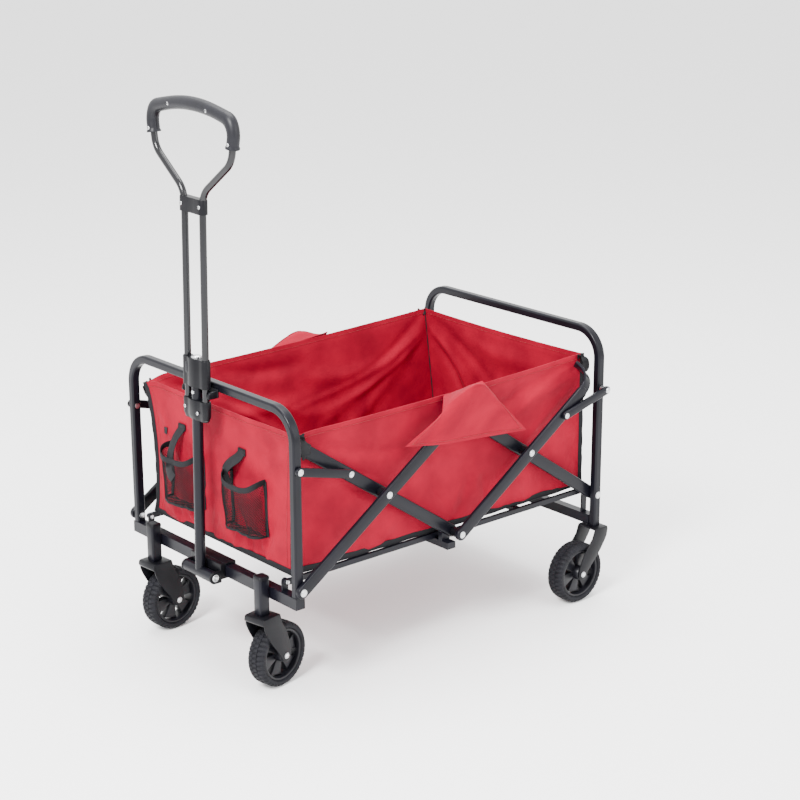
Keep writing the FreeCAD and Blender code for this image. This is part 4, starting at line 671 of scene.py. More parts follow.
def stadium(length: float, half: float, steps: int = 12) -> list[tuple[float, float]]:
    """Points round a strip with round ends from 0 to length, in millimetres.

    Args:
        length: from one end's centre to the other's, in millimetres.
        half: half its width.
        steps: steps round each end.

    Returns:
        Its points in turn.
    """
    turns = [math.pi * (k / steps - 0.5) for k in range(steps + 1)]
    far = [(length + half * math.cos(a), half * math.sin(a)) for a in turns]
    near = [(-half * math.cos(a), -half * math.sin(a)) for a in turns]
    return far + near


def dome(radius: float, height: float, steps: int = 5) -> list[tuple[float, float]]:
    """A domed head's profile: distance along the axis and radius, in millimetres.

    Args:
        radius: its radius, in millimetres.
        height: its height.
        steps: steps up it.

    Returns:
        Distances along the axis and radii, in millimetres.
    """
    rim = [(0.0, radius), (height * 0.35, radius)]
    crown = [
        (height * (0.35 + 0.65 * math.sin(t)), radius * math.cos(t))
        for t in (math.pi / 2 * k / steps for k in range(1, steps + 1))
    ]
    return rim + crown


def domed(foot: float, step: float, crown: float, height: float, steps: int = 5) -> list[tuple[float, float]]:
    """A head's profile: a short flange with a dome on it.

    Args:
        foot: radius of the flange, in millimetres.
        step: its thickness.
        crown: radius of the dome.
        height: its height.
        steps: steps up the dome.

    Returns:
        Distances along the axis and radii, in millimetres.
    """
    return [(0.0, foot), (step, foot)] + [(step + a, r) for a, r in dome(crown, height, steps)]


def through(a: Vector, b: Vector, c: Vector, d: Vector, t: float) -> Vector:
    """A place on the smooth curve through four points, t of the way from b to c."""
    square, cube = 2 * a - 5 * b + 4 * c - d, 3 * b - a - 3 * c + d
    return 0.5 * (2 * b + (c - a) * t + square * t * t + cube * t ** 3)


def restyle(finish: Finish, *names: str) -> None:
    """Gives CAD nodes whose shape is right a better finish.

    Args:
        finish: the finish.
        *names: the nodes.
    """
    for name in names:
        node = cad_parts[name]
        node.data.materials.clear()
        node.data.materials.append(finish.material())
        node.data.shade_smooth()
        node.data.set_sharp_from_angle(angle=math.radians(32))
        LOG.info("%s: restyled", name)


# ---- Scissor frame
@dataclass
class ScissorFrame:
    """Flat bars with round ends, their links, rivets and bushes on both sides."""

    reach: float = 380.0
    crossing: float = 180.0
    pivot_height: float = 217.0
    angle: float = math.radians(34.4)
    width: float = 24.0
    thick: float = 10.0
    outer_x: float = 262.6
    inner_x: float = 235.4
    leg_in: float = 246.0
    leg_out: float = 262.0
    front_tip: float = 204.0
    rear_tip: float = 384.0
    link_height: float = 442.5
    link_beyond: float = 104.8
    link_width: float = 16.0
    link_thick: float = 7.5
    end_thick: float = 11.9

    @property
    def cross_z(self) -> float:
        """Height of the crossing pivots."""
        return self.pivot_height + (self.reach - self.crossing) * math.tan(self.angle)

    @property
    def low_z(self) -> float:
        """Height of the low centre pivots."""
        return self.cross_z - self.crossing * math.tan(self.angle)

    @property
    def high_z(self) -> float:
        """Height of the high centre pivots."""
        return self.cross_z + self.crossing * math.tan(self.angle)

    @property
    def long_span(self) -> float:
        """Leg pivot to crossing."""
        return (self.reach - self.crossing) / math.cos(self.angle)

    @property
    def short_span(self) -> float:
        """Crossing to centre pivot."""
        return self.crossing / math.cos(self.angle)

    def link_point(self, end: int) -> tuple[float, float]:
        """Where a link meets its bar, at the front (-1) or rear (1)."""
        y = self.crossing + self.link_beyond * math.cos(self.angle)
        return end * y, self.cross_z + self.link_beyond * math.sin(self.angle)

    def strip(
        self, bag: MeshBag, x: float, start: tuple[float, float], angle: float, length: float,
        width: float, thick: float,
    ) -> None:
        """Adds a flat bar with round ends.

        Args:
            bag: where it goes.
            x: its lower face across the wagon, in millimetres.
            start: its first pivot, along the wagon and up.
            angle: its slope, in radians.
            length: from its first pivot to its last.
            width: its width.
            thick: its thickness.
        """
        cos, sin = math.cos(angle), math.sin(angle)
        outline = [
            at(x, start[0] + a * cos - b * sin, start[1] + a * sin + b * cos)
            for a, b in stadium(length, width / 2)
        ]
        bag.prism(outline, Vector((thick * MM, 0, 0)))

    def low_x(self, side: Side, inner: float, thick: float) -> float:
        """The lower X of a plate between inner and inner + thick on a side."""
        return inner if side is Side.RIGHT else -inner - thick

    def bars(self) -> None:
        """The eight scissor bars."""
        full = self.long_span + self.short_span
        part = self.short_span + self.front_tip
        plans = (
            ("outer_front", self.outer_x, (-self.reach, self.pivot_height), self.angle, full),
            ("inner_front", self.inner_x, (0.0, self.low_z), math.pi - self.angle, part),
            ("inner_rear", self.inner_x, (0.0, self.high_z), -self.angle, full),
            ("outer_rear", self.outer_x, (0.0, self.low_z), self.angle, self.rear_tip),
        )
        for side in Side:
            for name, inner, start, angle, length in plans:
                bag = MeshBag()
                low = self.low_x(side, inner, self.thick)
                self.strip(bag, low, start, angle, length, self.width, self.thick)
                bag.make(
                    f"Bar_{name}_{side.word}", POWDER, f"{name}_bars", "powder_coat",
                    replaces=[f"{name}_bar_{side.word}"], bevel=3.0, segments=4,
                )

    def rivet(
        self, bag: MeshBag, side: Side, inner: float, outer: float, y: float, z: float, head: float = 6.5,
    ) -> None:
        """Adds a rivet with a domed head outside and a flat one inside.

        Args:
            bag: where it goes.
            side: the wagon's side.
            inner: the inner face that it holds, from the middle of the wagon, in millimetres.
            outer: the outer face that it holds.
            y: its place along the wagon.
            z: its height.
            head: radius of its head.
        """
        way = Vector((side.value, 0, 0))
        flat = [(-1.6, head * 0.7), (-1.2, head * 0.9), (0, head * 0.9)]
        shank = [(0, 4), (outer - inner, 4)]
        bag.lathe(at(side.value * inner, y, z), way, flat + shank, 28)
        bag.lathe(at(side.value * outer, y, z), way, domed(head, 0.5, head * 0.86, 2.0), 28)

    def bush(
        self, bag: MeshBag, side: Side, inner: float, outer: float, y: float, z: float, radius: float = 9.0,
    ) -> None:
        """Adds a spacer bush with chamfered ends; its arguments are a rivet's, with its own radius."""
        span = outer - inner
        profile = [(0, radius - 1), (1, radius), (span - 1, radius), (span, radius - 1)]
        bag.lathe(at(side.value * inner, y, z), Vector((side.value, 0, 0)), profile, 28)

    def rivets(self) -> None:
        """All the scissor rivets and bushes, body by body."""
        inner, outer = self.inner_x, self.outer_x + self.thick
        front_y, link_z = self.link_point(-1)
        rear_y, _ = self.link_point(1)
        front, rear, front_bush, rear_bush = (MeshBag() for _ in range(4))
        for side in Side:
            self.rivet(front, side, inner, outer, -self.crossing, self.cross_z)
            self.rivet(front, side, inner, outer, 0, self.high_z)
            self.rivet(rear, side, inner, outer, self.crossing, self.cross_z)
            self.rivet(rear, side, self.outer_x, outer, 0, self.low_z)
            self.rivet(rear, side, self.outer_x, outer + 0.2, rear_y, link_z, 5.0)
            bush_in, bush_out = self.inner_x + self.thick, self.outer_x
            self.bush(front_bush, side, bush_in, bush_out, -self.crossing, self.cross_z)
            self.bush(front_bush, side, bush_in, bush_out - 0.4, 0, self.low_z)
            self.bush(front_bush, side, bush_in, bush_out - 0.4, front_y, link_z, 5.5)
            self.bush(rear_bush, side, bush_in, bush_out, 0, self.high_z)
            self.bush(rear_bush, side, bush_in, bush_out, self.crossing, self.cross_z)
        for end, rivets in (("front", front), ("rear", rear)):
            rivets.make(
                f"Rivets_outer_{end}", ZINC, f"outer_{end}_bars", "zinc_steel",
                replaces=[f"outer_{end}_rivets"],
            )
        for end, bushes in (("front", front_bush), ("rear", rear_bush)):
            bushes.make(
                f"Bushes_inner_{end}", NYLON, f"inner_{end}_bars", "black_plastic",
                replaces=[f"inner_{end}_spacers"],
            )

    def links(self) -> None:
        """The front and rear links with their rivets on the bars."""
        far_y, far_z = self.link_point(-1)
        span = math.hypot(self.reach + far_y, self.link_height - far_z)
        drop = math.atan2(self.link_height - far_z, self.reach + far_y)
        thick = self.link_thick
        for word, end, inner, angle in (("front", -1, 262.6, -drop), ("rear", 1, 273.2, math.pi + drop)):
            bag, heads = MeshBag(), MeshBag()
            start = (end * self.reach, self.link_height)
            y, z = self.link_point(end)
            for side in Side:
                self.strip(bag, self.low_x(side, inner, thick), start, angle, span, self.link_width, thick)
                place = at(side.value * (inner + thick), y, z)
                heads.lathe(place, Vector((side.value, 0, 0)), domed(5.6, 0.4, 4.9, 1.7), 28)
            bag.make(
                f"Links_{word}", POWDER, f"{word}_links", "powder_coat", replaces=[f"{word}_links"],
                bevel=2.0
            )
            heads.make(f"Link_rivets_{word}", ZINC, f"{word}_links", "zinc_steel")

    def leg_rivets(self) -> None:
        """Rivets in the legs, the rails' pins and the handle's pivot pin."""
        front, rear = MeshBag(), MeshBag()
        outer = self.outer_x + self.thick
        for side in Side:
            self.rivet(front, side, self.leg_in, outer, -self.reach, self.pivot_height, 7.0)
            self.rivet(front, side, self.leg_in, 270.1, -self.reach, self.link_height, 6.0)
            self.rivet(rear, side, self.inner_x, self.leg_out, self.reach, self.pivot_height, 7.0)
            self.rivet(rear, side, self.leg_in, 280.7, self.reach, self.link_height, 6.0)
            self.bush(rear, side, self.leg_out, 272.9, self.reach, self.link_height, 6.5)
            self.rivet(front, side, 213.0, 224.0, -379, 222.5, 4.6)
            self.rivet(rear, side, 221.0, 232.0, 379, 222.5, 4.6)
            self.rivet(front, side, 0.0, 48.0, -413.3, 184.0, 7.0)
        front.make(
            "Rivets_front_frame", ZINC, "front_frame", "zinc_steel", replaces=["front_frame_fasteners"]
        )
        rear.make("Rivets_rear_frame", ZINC, "rear_frame", "zinc_steel", replaces=["rear_frame_fasteners"])

    def corner_ends(self) -> None:
        """Nylon ends of the inner front bars, and the bent, flattened ends of the outer rear bars."""
        ends, bent = MeshBag(), MeshBag()
        tip = self.short_span + self.front_tip
        end = [(-6, -14), (6, -14), (10, -9), (10, 9), (6, 14), (-6, 14)]
        cos, sin = math.cos(self.angle), math.sin(self.angle)
        for side in Side:
            low = self.low_x(side, 233.8, self.end_thick)
            outline = [
                at(low, -(tip + a) * cos - b * sin, self.low_z + (tip + a) * sin - b * cos) for a, b in end
            ]
            ends.prism(outline, Vector((self.end_thick * MM, 0, 0)))
            run = [
                (267.6, 376.0, 0.0), (267.6, 392.0, 0.5), (267.0, 403.0, 3.0), (265.0, 411.0, 8.5),
                (261.5, 416.0, 17.0), (256.5, 418.5, 26.0), (249.5, 419.5, 34.0), (243.0, 419.5, 40.0),
            ]
            path = [
                at(side.value * x, a * cos - up * sin, self.low_z + a * sin + up * cos) for x, a, up in run
            ]
            bent.sweep(smooth_path(path, 4), rounded_rect(6, 23, 2.6), Vector((0, -sin, cos)))
        ends.make(
            "Corner_ends_front", NYLON, "inner_front_bars", "black_plastic",
            replaces=["front_corner_caps"], bevel=2.0,
        )
        bent.make("Bent_ends_rear", POWDER, "outer_rear_bars", "powder_coat", replaces=["rear_corner_caps"])

    def build(self) -> None:
        """Builds the whole scissor frame."""
        self.bars()
        self.rivets()
        self.links()
        self.leg_rivets()
        self.corner_ends()
        restyle(
            POWDER, "front_frame_tube", "rear_frame_tube", "front_cross_bar", "rear_cross_bar",
            "centre_cross_bar", "front_floor_rails", "rear_floor_rails", "handle_lower_tube",
        )


def smooth_path(points: Sequence[Vector], cuts: int) -> list[Vector]:
    """A smooth curve through points.

    Args:
        points: the points it passes.
        cuts: steps between two of them.

    Returns:
        The curve's points.
    """
    padded = [points[0] * 2 - points[1], *points, points[-1] * 2 - points[-2]]
    line: list[Vector] = []
    for i in range(1, len(padded) - 2):
        a, b, c, d = padded[i - 1:i + 3]
        for k in range(cuts):
            line.append(through(a, b, c, d, k / cuts))
    line.append(points[-1].copy())
    return line


# ---- Wheels and casters
@dataclass
class Wheel:
    """A tyre with a block tread on a moulded hub."""

    name: str
    node: str
    body: str
    centre: Vector
    axle: Vector
    radius: float = 62.0
    half: float = 19.0
    seat: float = 49.0
    blocks: int = 40
    spokes: int = 6

    def tread(self, turn: float, w: float) -> float:
        """How far the tread stands from the axle.

        Args:
            turn: angle round the wheel, in radians.
            w: distance from the tyre's middle, in millimetres.

        Returns:
            The radius, in millimetres.
        """
        pitch = math.tau / self.blocks
        away = abs(w)
        shoulder = max(0.0, (away - 12.5) / (self.half - 12.5))
        crown = self.radius - 1.3 * (away / self.half) ** 2 - 4.2 * shoulder ** 2.2
        row = 0 if away < 5.2 else 1
        skew = 0.5 * row * (1 if w > 0 else -1) + 0.018 * w * (1 if row else 0.4)
        place = (turn / pitch + skew) % 1.0
        groove = place < 0.26 or 4.4 < away < 6.0
        return crown - (1.7 if groove else 0.0)

    def tyre(self) -> None:
        """The tyre."""
        across = self.axle.orthogonal().normalized()
        other = self.axle.cross(across)
        rim = [(-15.0, self.seat), (-self.half + 0.6, self.seat + 2.2), (-self.half, self.seat + 5)]
        half = [2, 4.2, 4.6, 6.0, 6.4, 9, 11.5, 14, 16.5, 18.4, self.half]
        widths = [-w for w in reversed(half)] + [0.0] + half
        steps = self.blocks * 8
        rings: list[Vector] = []
        for k in range(steps):
            turn = math.tau * k / steps
            spoke = across * math.cos(turn) + other * math.sin(turn)
            profile = rim + [(w, self.tread(turn, w)) for w in widths] + [(-w, r) for w, r in reversed(rim)]
            rings += [self.centre + self.axle * (w * MM) + spoke * (r * MM) for w, r in profile]
        bag = MeshBag()
        bag.rings(rings, len(rings) // steps, closed=True)
        node = self.node.replace("hub", "tyre")
        bag.make(f"Tyre_{self.name}", TYRE, self.body, "tyre_rubber", replaces=[node], smooth=28)

    def hub(self) -> None:
        """Rim, web with six windows, ribs beside them, and boss."""
        across = self.axle.orthogonal().normalized()
        other = self.axle.cross(across)
        bag = MeshBag()
        rim = [(-16, 45), (-16, 48.9), (16, 48.9), (16, 45), (13, 44), (5, 43.4), (-5, 43.4), (-13, 44)]
        steps = 72
        points = [
            self.centre + self.axle * (w * MM) + (across * math.cos(t) + other * math.sin(t)) * (r * MM)
            for t in (math.tau * k / steps for k in range(steps))
            for w, r in rim
        ]
        bag.rings(points, len(rim), closed=True)
        spoke = [(11, 0.50), (17, 0.43), (30, 0.35), (38, 0.33), (44, 0.38)]
        ring = spoke + [(r, -s) for r, s in reversed(spoke)]
        for k in range(self.spokes):
            middle = math.tau * (k + 0.5) / self.spokes
            flat = [
                self.centre - self.axle * (7.5 * MM)
                + (across * math.cos(middle + s) + other * math.sin(middle + s)) * (r * MM)
                for r, s in ring
            ]
            bag.prism(flat, self.axle * (15 * MM))
        boss = [(0, 12), (1.2, 13), (12, 14.5), (29.6, 14.5), (40.4, 13), (41.6, 12)]
        bag.lathe(self.centre - self.axle * (20.8 * MM), self.axle, boss, 40)
        bag.make(
            f"Hub_{self.name}", HUB, self.body, "hub_plastic", replaces=[self.node], bevel=0.9, segments=2
        )

    def build(self) -> None:
        """Builds the wheel."""
        self.tyre()
        self.hub()


@dataclass
class Fork:
    """A pressed fork with a shielded top and leaf-shaped arms, and its axle bolt."""

    name: str
    body: str
    fork_node: str
    stem: Vector
    turn: float
    lead: float
    top: float
    front: float
    rear: float
    arm_out: float = 24.5
    sheet: float = 3.0
    axle_height: float = 62.0

    def place(self, x: float, y: float, z: float) -> Vector:
        """A point of the fork's own frame, in the model's frame."""
        cos, sin = math.cos(self.turn), math.sin(self.turn)
        return self.stem + Vector((x * cos - y * sin, x * sin + y * cos, z)) * MM

    def arm_outline(self) -> list[tuple[float, float]]:
        """The arm's outline: wide at the top, waisted, round at the axle."""
        z0, r, y0 = self.axle_height, 12.5, self.lead
        foot = [
            (y0 + r * math.cos(a), z0 + r * math.sin(a))
            for a in (math.pi + 0.25 + (math.pi - 0.1) * k / 14 for k in range(15))
        ]
        ahead, behind, top = -self.front, self.rear, self.top

        def edge(way: int, far: float, t: float) -> tuple[float, float]:
            """A place on the arm's side, t of the way up to far, swelling outward."""
            near = y0 + way * r
            return near + (far - near) * t + way * 6.0 * math.sin(math.pi * t) ** 0.8, z0 + 4 + (
                top - 18 - z0
            ) * t

        steps = (0.15, 0.35, 0.55, 0.75, 0.92)
        back = [edge(1, behind, t) for t in steps]
        fore = [edge(-1, ahead, t) for t in reversed(steps)]
        shoulder = [(behind, top - 5), (behind - 2, top), (ahead + 2, top), (ahead, top - 5)]
        return foot + back + shoulder + fore

    def build(self) -> None:
        """Builds the fork's arm plates, its top and, where it leads, its front lip."""
        bag = MeshBag()
        outline = self.arm_outline()
        across = self.place(1, 0, 0) - self.place(0, 0, 0)
        for x in (-self.arm_out, self.arm_out - self.sheet):
            bag.prism([self.place(x, y, z) for y, z in outline], across * self.sheet)
        inner = self.arm_out - 0.5
        fore, back, top = -self.front, self.rear, self.top
        cap = [(fore + 1, top - 3), (fore + 1, top), (back - 1, top), (back - 1, top - 3)]
        bag.prism([self.place(-inner, y, z) for y, z in cap], across * (2 * inner))
        if self.lead > 0:
            lip = [(0, 13), (-2.5, 9), (-1, 1), (2, 0.5), (2, 13)]
            bag.prism([self.place(-inner, fore + y, top - down) for y, down in lip], across * (2 * inner))
        bag.make(
            f"Fork_{self.name}", NYLON, self.body, "powder_coat", replaces=[self.fork_node], bevel=1.0,
            segments=2
        )


@dataclass
class RunningGear:
    """Two swivel casters and two fixed rear wheels."""

    stem_x: float = 174.0
    stem_y: float = -401.0
    trail: float = 37.0
    yaws: dict = field(default_factory=lambda: {Side.LEFT: math.radians(4.5), Side.RIGHT: math.radians(10.6)})
    rear_x: float = 251.0
    rear_lead: float = 51.0

    def casters(self) -> None:
        """Sockets, stems, forks and wheels at the front."""
        sockets, caps = MeshBag(), MeshBag()
        for side in Side:
            yaw = self.yaws[side]
            stem = at(side.value * self.stem_x, self.stem_y, 0)
            body = f"caster_{side.word}"
            node = f"caster_fork_{side.word}"
            fork = Fork(f"front_{side.word}", body, node, stem, yaw, self.trail, 150.0, 20.0, 24.0)
            fork.build()
            hardware = MeshBag()
            collar = [(0, 9), (1, 10), (4, 10), (4, 6), (71, 6)]
            hardware.lathe(stem + Vector((0, 0, 143 * MM)), Vector((0, 0, 1)), collar, 24)
            axle = (fork.place(1, 0, 0) - fork.place(0, 0, 0)).normalized()
            self.axle_bolt(hardware, fork, axle)
            hardware.make(
                f"Caster_hardware_{side.word}", ZINC, body, "zinc_steel",
                replaces=[f"caster_hardware_{side.word}"],
            )
            self.wheel(f"front_{side.word}", fork, axle)
            x = side.value * self.stem_x
            square = rounded_rect(22, 22, 4)
            sockets.prism([at(x + a, self.stem_y + b, 151) for a, b in square], Vector((0, 0, 69 * MM)))
            rings = [(0, 12.0), (4.5, 12.0), (6.2, 10.8), (7.0, 8.0), (7.0, 4.0)]
            self.cap(caps, x, rings)
        sockets.make(
            "Caster_sockets", POWDER, "front_frame", "powder_coat", replaces=["caster_sockets"],
            bevel=0.8, segments=2,
        )
        caps.make(
            "Caster_socket_caps", NYLON, "front_frame", "black_plastic", replaces=["caster_socket_caps"]
        )

    def axle_bolt(self, bag: MeshBag, fork: Fork, axle: Vector) -> None:
        """Adds an axle bolt with a domed head at each arm of a fork."""
        for sign in (-1, 1):
            head = fork.place(sign * fork.arm_out, fork.lead, fork.axle_height)
            bag.lathe(head, axle * sign, domed(5.8, 0.8, 4.9, 2.4), 24)
        bag.lathe(fork.place(-24, fork.lead, fork.axle_height), axle, [(0, 4), (48, 4)], 20)

    def wheel(self, name: str, fork: Fork, axle: Vector) -> None:
        """Builds the wheel of a fork; name is its end and side."""
        end, side = name.split("_")
        centre = fork.place(0, fork.lead, fork.axle_height)
        Wheel(name, f"{end}_hub_{side}", f"{end}_wheel_{side}", centre, axle).build()

    def cap(self, bag: MeshBag, x: float, rings: Outline) -> None:
        """Adds a square cap whose top edges roll over.

        Args:
            bag: where it goes.
            x: its place across the wagon, in millimetres.
            rings: heights above its foot, and half widths there.
        """
        outlines = [
            [
                at(x + a, self.stem_y + b, 220 + up)
                for a, b in rounded_rect(2 * half, 2 * half, min(5.0, half * 0.7))
            ]
            for up, half in rings
        ]
        bag.rings([p for outline in outlines for p in outline], len(outlines[0]))

    def rear(self) -> None:
        """Fixed brackets and wheels at the rear."""
        bolts = MeshBag()
        for side in Side:
            stem = at(side.value * self.rear_x, 380, 0)
            name = f"rear_{side.word}"
            node = f"rear_wheel_bracket_{side.word}"
            bracket = Fork(name, "rear_frame", node, stem, 0.0, -self.rear_lead, 150.5, 20.0, 18.0)
            bracket.build()
            axle = Vector((1, 0, 0))
            self.axle_bolt(bolts, bracket, axle)
            self.wheel(name, bracket, axle)
        bolts.make("Axle_bolts_rear", ZINC, "rear_frame", "zinc_steel")

    def build(self) -> None:
        """Builds all four wheels and what holds them."""
        self.casters()
        self.rear()


# ---- Handle
@dataclass
class PullHandle:
    """Telescopic handle: a round lower tube, a loop of two tubes, moulded blocks and a grip."""

    pivot: tuple[float, float] = (-413.3, 184.0)
    lean: float = math.radians(1.06)
    twin: float = 27.8

    def place(self, x: float, y: float, w: float) -> Vector:
        """A point of the handle's own frame: across, forward of its plane, and along it."""
        cos, sin = math.cos(self.lean), math.sin(self.lean)
        return at(x, self.pivot[0] + y * cos + w * sin, self.pivot[1] + w * cos - y * sin)

    def up(self) -> Vector:
        """Direction along the handle."""
        return (self.place(0, 0, 1) - self.place(0, 0, 0)).normalized()

    def back(self) -> Vector:
        """The direction off the handle's back."""
        return (self.place(0, 1, 0) - self.place(0, 0, 0)).normalized()

    def waisted(self, half: float, radius: float, waist: float, steps: int = 10) -> list[tuple[float, float]]:
        """Outline of a block across both tubes with a round belly at the middle.

        Args:
            half: from the middle to a tube, in millimetres.
            radius: radius of the block round a tube.
            waist: half the block's depth at the belly.
            steps: steps round each end.

        Returns:
            Its points in turn.
        """
        points: list[tuple[float, float]] = []
        for sx, flip in ((1, 1), (-1, -1)):
            for k in range(steps + 1):
                angle = (-0.5 + k / steps) * math.pi
                points.append((sx * (half + radius * math.cos(angle)), flip * radius * math.sin(angle)))
            for k in range(1, steps):
                x = sx * (half - 2 * half * k / steps)
                bulge = max(0.0, 1 - (x / 15) ** 2)
                points.append((x, flip * (radius * 0.94 + (waist - radius * 0.94) * math.sqrt(bulge))))
        return points

    def block(
        self, name: str, bottom: float, top: float, finish: Finish, body: str, node: str, *,
        taper: float = 0.0, waist: float = 12.5, radius: float = 9.0,
    ) -> None:
        """Builds a moulded block across both tubes.

        Args:
            name: the piece's name.
            bottom: its foot along the handle, in millimetres.
            top: its top along the handle.
            finish: its finish.
            body: the body it rides on.
            node: the CAD node that it stands for.
            taper: how much smaller its foot is, as a share.
            waist: half its depth at the belly.
            radius: its radius round a tube.
        """
        levels = [
            (bottom, 1.0 - taper), (bottom + 3, 1.0 - taper * 0.7), (bottom + 9, 1.0), (top - 1.5, 1.0),
            (top, 0.96),
        ]
        outline = self.waisted(self.twin, radius, waist)
        points = [self.place(a * (1 + s) / 2, b * s, w) for w, s in levels for a, b in outline]
        bag = MeshBag()
        bag.rings(points, len(outline))
        bag.make(name, finish, body, "black_plastic", replaces=[node], smooth=50)

    def grip_line(self) -> list[Vector]:
        """The grip's centreline: up one side, round the corner, over the crown and down again."""
        half: list[tuple[float, float]] = []
        low = (119.9, 807.8)
        corner, bend, crown = (93.1, 829.6), 30.0, 400.0
        reach = math.sqrt((crown - bend) ** 2 - corner[0] ** 2)
        lean = math.atan2(reach, corner[0])
        start = math.radians(-9.1)
        first = (corner[0] + bend * math.cos(start), corner[1] + bend * math.sin(start))
        for k in range(6):
            t = k / 6
            half.append((low[0] + (first[0] - low[0]) * t, low[1] + (first[1] - low[1]) * t))
        for k in range(16):
            angle = start + (lean - start) * k / 15
            half.append((corner[0] + bend * math.cos(angle), corner[1] + bend * math.sin(angle)))
        for k in range(1, 14):
            angle = lean + (math.pi / 2 - lean) * k / 13
            half.append((crown * math.cos(angle), corner[1] - reach + crown * math.sin(angle)))
        line = half + [(-x, w) for x, w in reversed(half[:-1])]
        return [self.place(x, 0, w) for x, w in line]

    def grip_section(self, t: float) -> list[tuple[float, float]]:
        """Outline of the grip, lipped at the ends and swelling for the fingers.

        Args:
            t: place along the grip, from 0 to 1.

        Returns:
            The outline's points in turn, in millimetres.
        """
        from_end = min(t, 1 - t)
        lip = 1.4 if from_end < 0.016 else (-0.2 if from_end < 0.03 else 0.0)
        swell = 2.6 * math.exp(-((from_end - 0.5) / 0.16) ** 2)
        palm = 3.2 * math.exp(-((from_end - 0.245) / 0.075) ** 2)
        points = []
        for k in range(36):
            a = math.tau * k / 36
            inward = max(0.0, -math.cos(a))
            radius = 11.2 + lip + swell * 0.35 + (palm + swell * 0.35) * inward ** 1.5
            points.append((radius * math.cos(a), (radius + 0.6) * math.sin(a)))
        return points

    def grip(self) -> None:
        """The grip, in two halves with a parting line."""
        path = self.grip_line()
        bag = MeshBag()
        bag.sweep(path, self.grip_section, self.back())
        bag.make(
            "Grip", GRIP, "upper_handle", "grip_plastic", replaces=["grip_front", "grip_rear"], smooth=55
        )
        groove = MeshBag()
        groove.sweep(path[1:-1], [(11.9, -0.35), (12.05, 0.0), (11.9, 0.35), (11.0, 0.0)], self.back())
        groove.make("Grip_parting_line", NYLON, "upper_handle", "grip_plastic")

    def screws(self) -> None:
        """Pan-head screws on the grip and the blocks, each with thin black strips on its dome as painted
        shade in its slots.
        """
        bag, slot_shades = MeshBag(), MeshBag()
        front = -self.back()
        spots = (
            (-121.1, 815.6, 11.9), (-58, 866.6, 11.9), (58, 866.6, 11.9), (121.1, 815.6, 11.9),
            (-27.8, 693.5, 9.1), (27.8, 693.5, 9.1), (-27.8, 318, 9.1), (14, 313, 10.9),
        )
        for x, w, face in spots:
            centre = self.place(x, -face + 0.8, w)
            bag.lathe(centre, front, [(0, 3.4)] + dome(3.4, 1.7), 20)
            # Each slot is drawn as a thin black strip standing just proud of the dome. This is painted shade
            # in place of the slot's recess, not a cut into the head.
            for turn in (0.3, 0.3 + math.pi / 2):
                side = (self.place(math.cos(turn), 0, math.sin(turn)) - self.place(0, 0, 0)).normalized()
                other = front.cross(side)
                tip = centre + front * (1.55 * MM)
                slot = ((-2, -0.35), (2, -0.35), (2, 0.35), (-2, 0.35))
                outline = [tip + side * (a * MM) + other * (b * MM) for a, b in slot]
                slot_shades.prism(outline, front * (0.25 * MM))
        bag.make("Handle_screws", ZINC, "upper_handle", "zinc_steel", replaces=["handle_screws"])
        slot_shades.make("Handle_screw_slots", NYLON, "upper_handle", "zinc_steel")

    def lower(self) -> None:
        """Lock block, release button, tube cap and the marks on the lower tube."""
        self.block("Lock_block", 361, 414, NYLON, "lower_handle", "lock_block", waist=12.8)
        cap = MeshBag()
        cap.lathe(self.place(0, 0, 413), self.up(), domed(10, 2, 9.4, 4.5, 7), 36)
        cap.make("Tube_cap", SILVER, "lower_handle", "silver_cap", replaces=["handle_tube_cap"])
        button = MeshBag()
        outline = [self.place(-16 + a, -10.6, 394 + b) for a, b in rounded_rect(10, 18, 3)]
        normal = self.back()
        button.prism(outline, normal * (4.6 * MM))
        for k in range(4):
            ridge = [self.place(-16 + a, -11.1, 388 + 3.6 * k + b) for a, b in rounded_rect(7.5, 1.2, 0.5, 2)]
            button.prism(ridge, normal * (0.8 * MM))
        button.make(
            "Lock_button", GRIP, "lock_button", "black_plastic", replaces=["lock_button"],
            bevel=0.5, segments=2,
        )
        surround = MeshBag()
        ring = [self.place(-16 + a, -9.35, 394 + b) for a, b in rounded_rect(14, 22, 4)]
        surround.prism(ring, normal * (1.0 * MM))
        surround.make("Button_surround", HUB, "lower_handle", "black_plastic", bevel=0.4, segments=2)
        pin = MeshBag()
        pin.lathe(self.place(0, -9.6, 350), -normal, [(0, 4)] + dome(3.6, 1.6), 20)
        pin.make("Stop_pin", ZINC, "lower_handle", "zinc_steel")

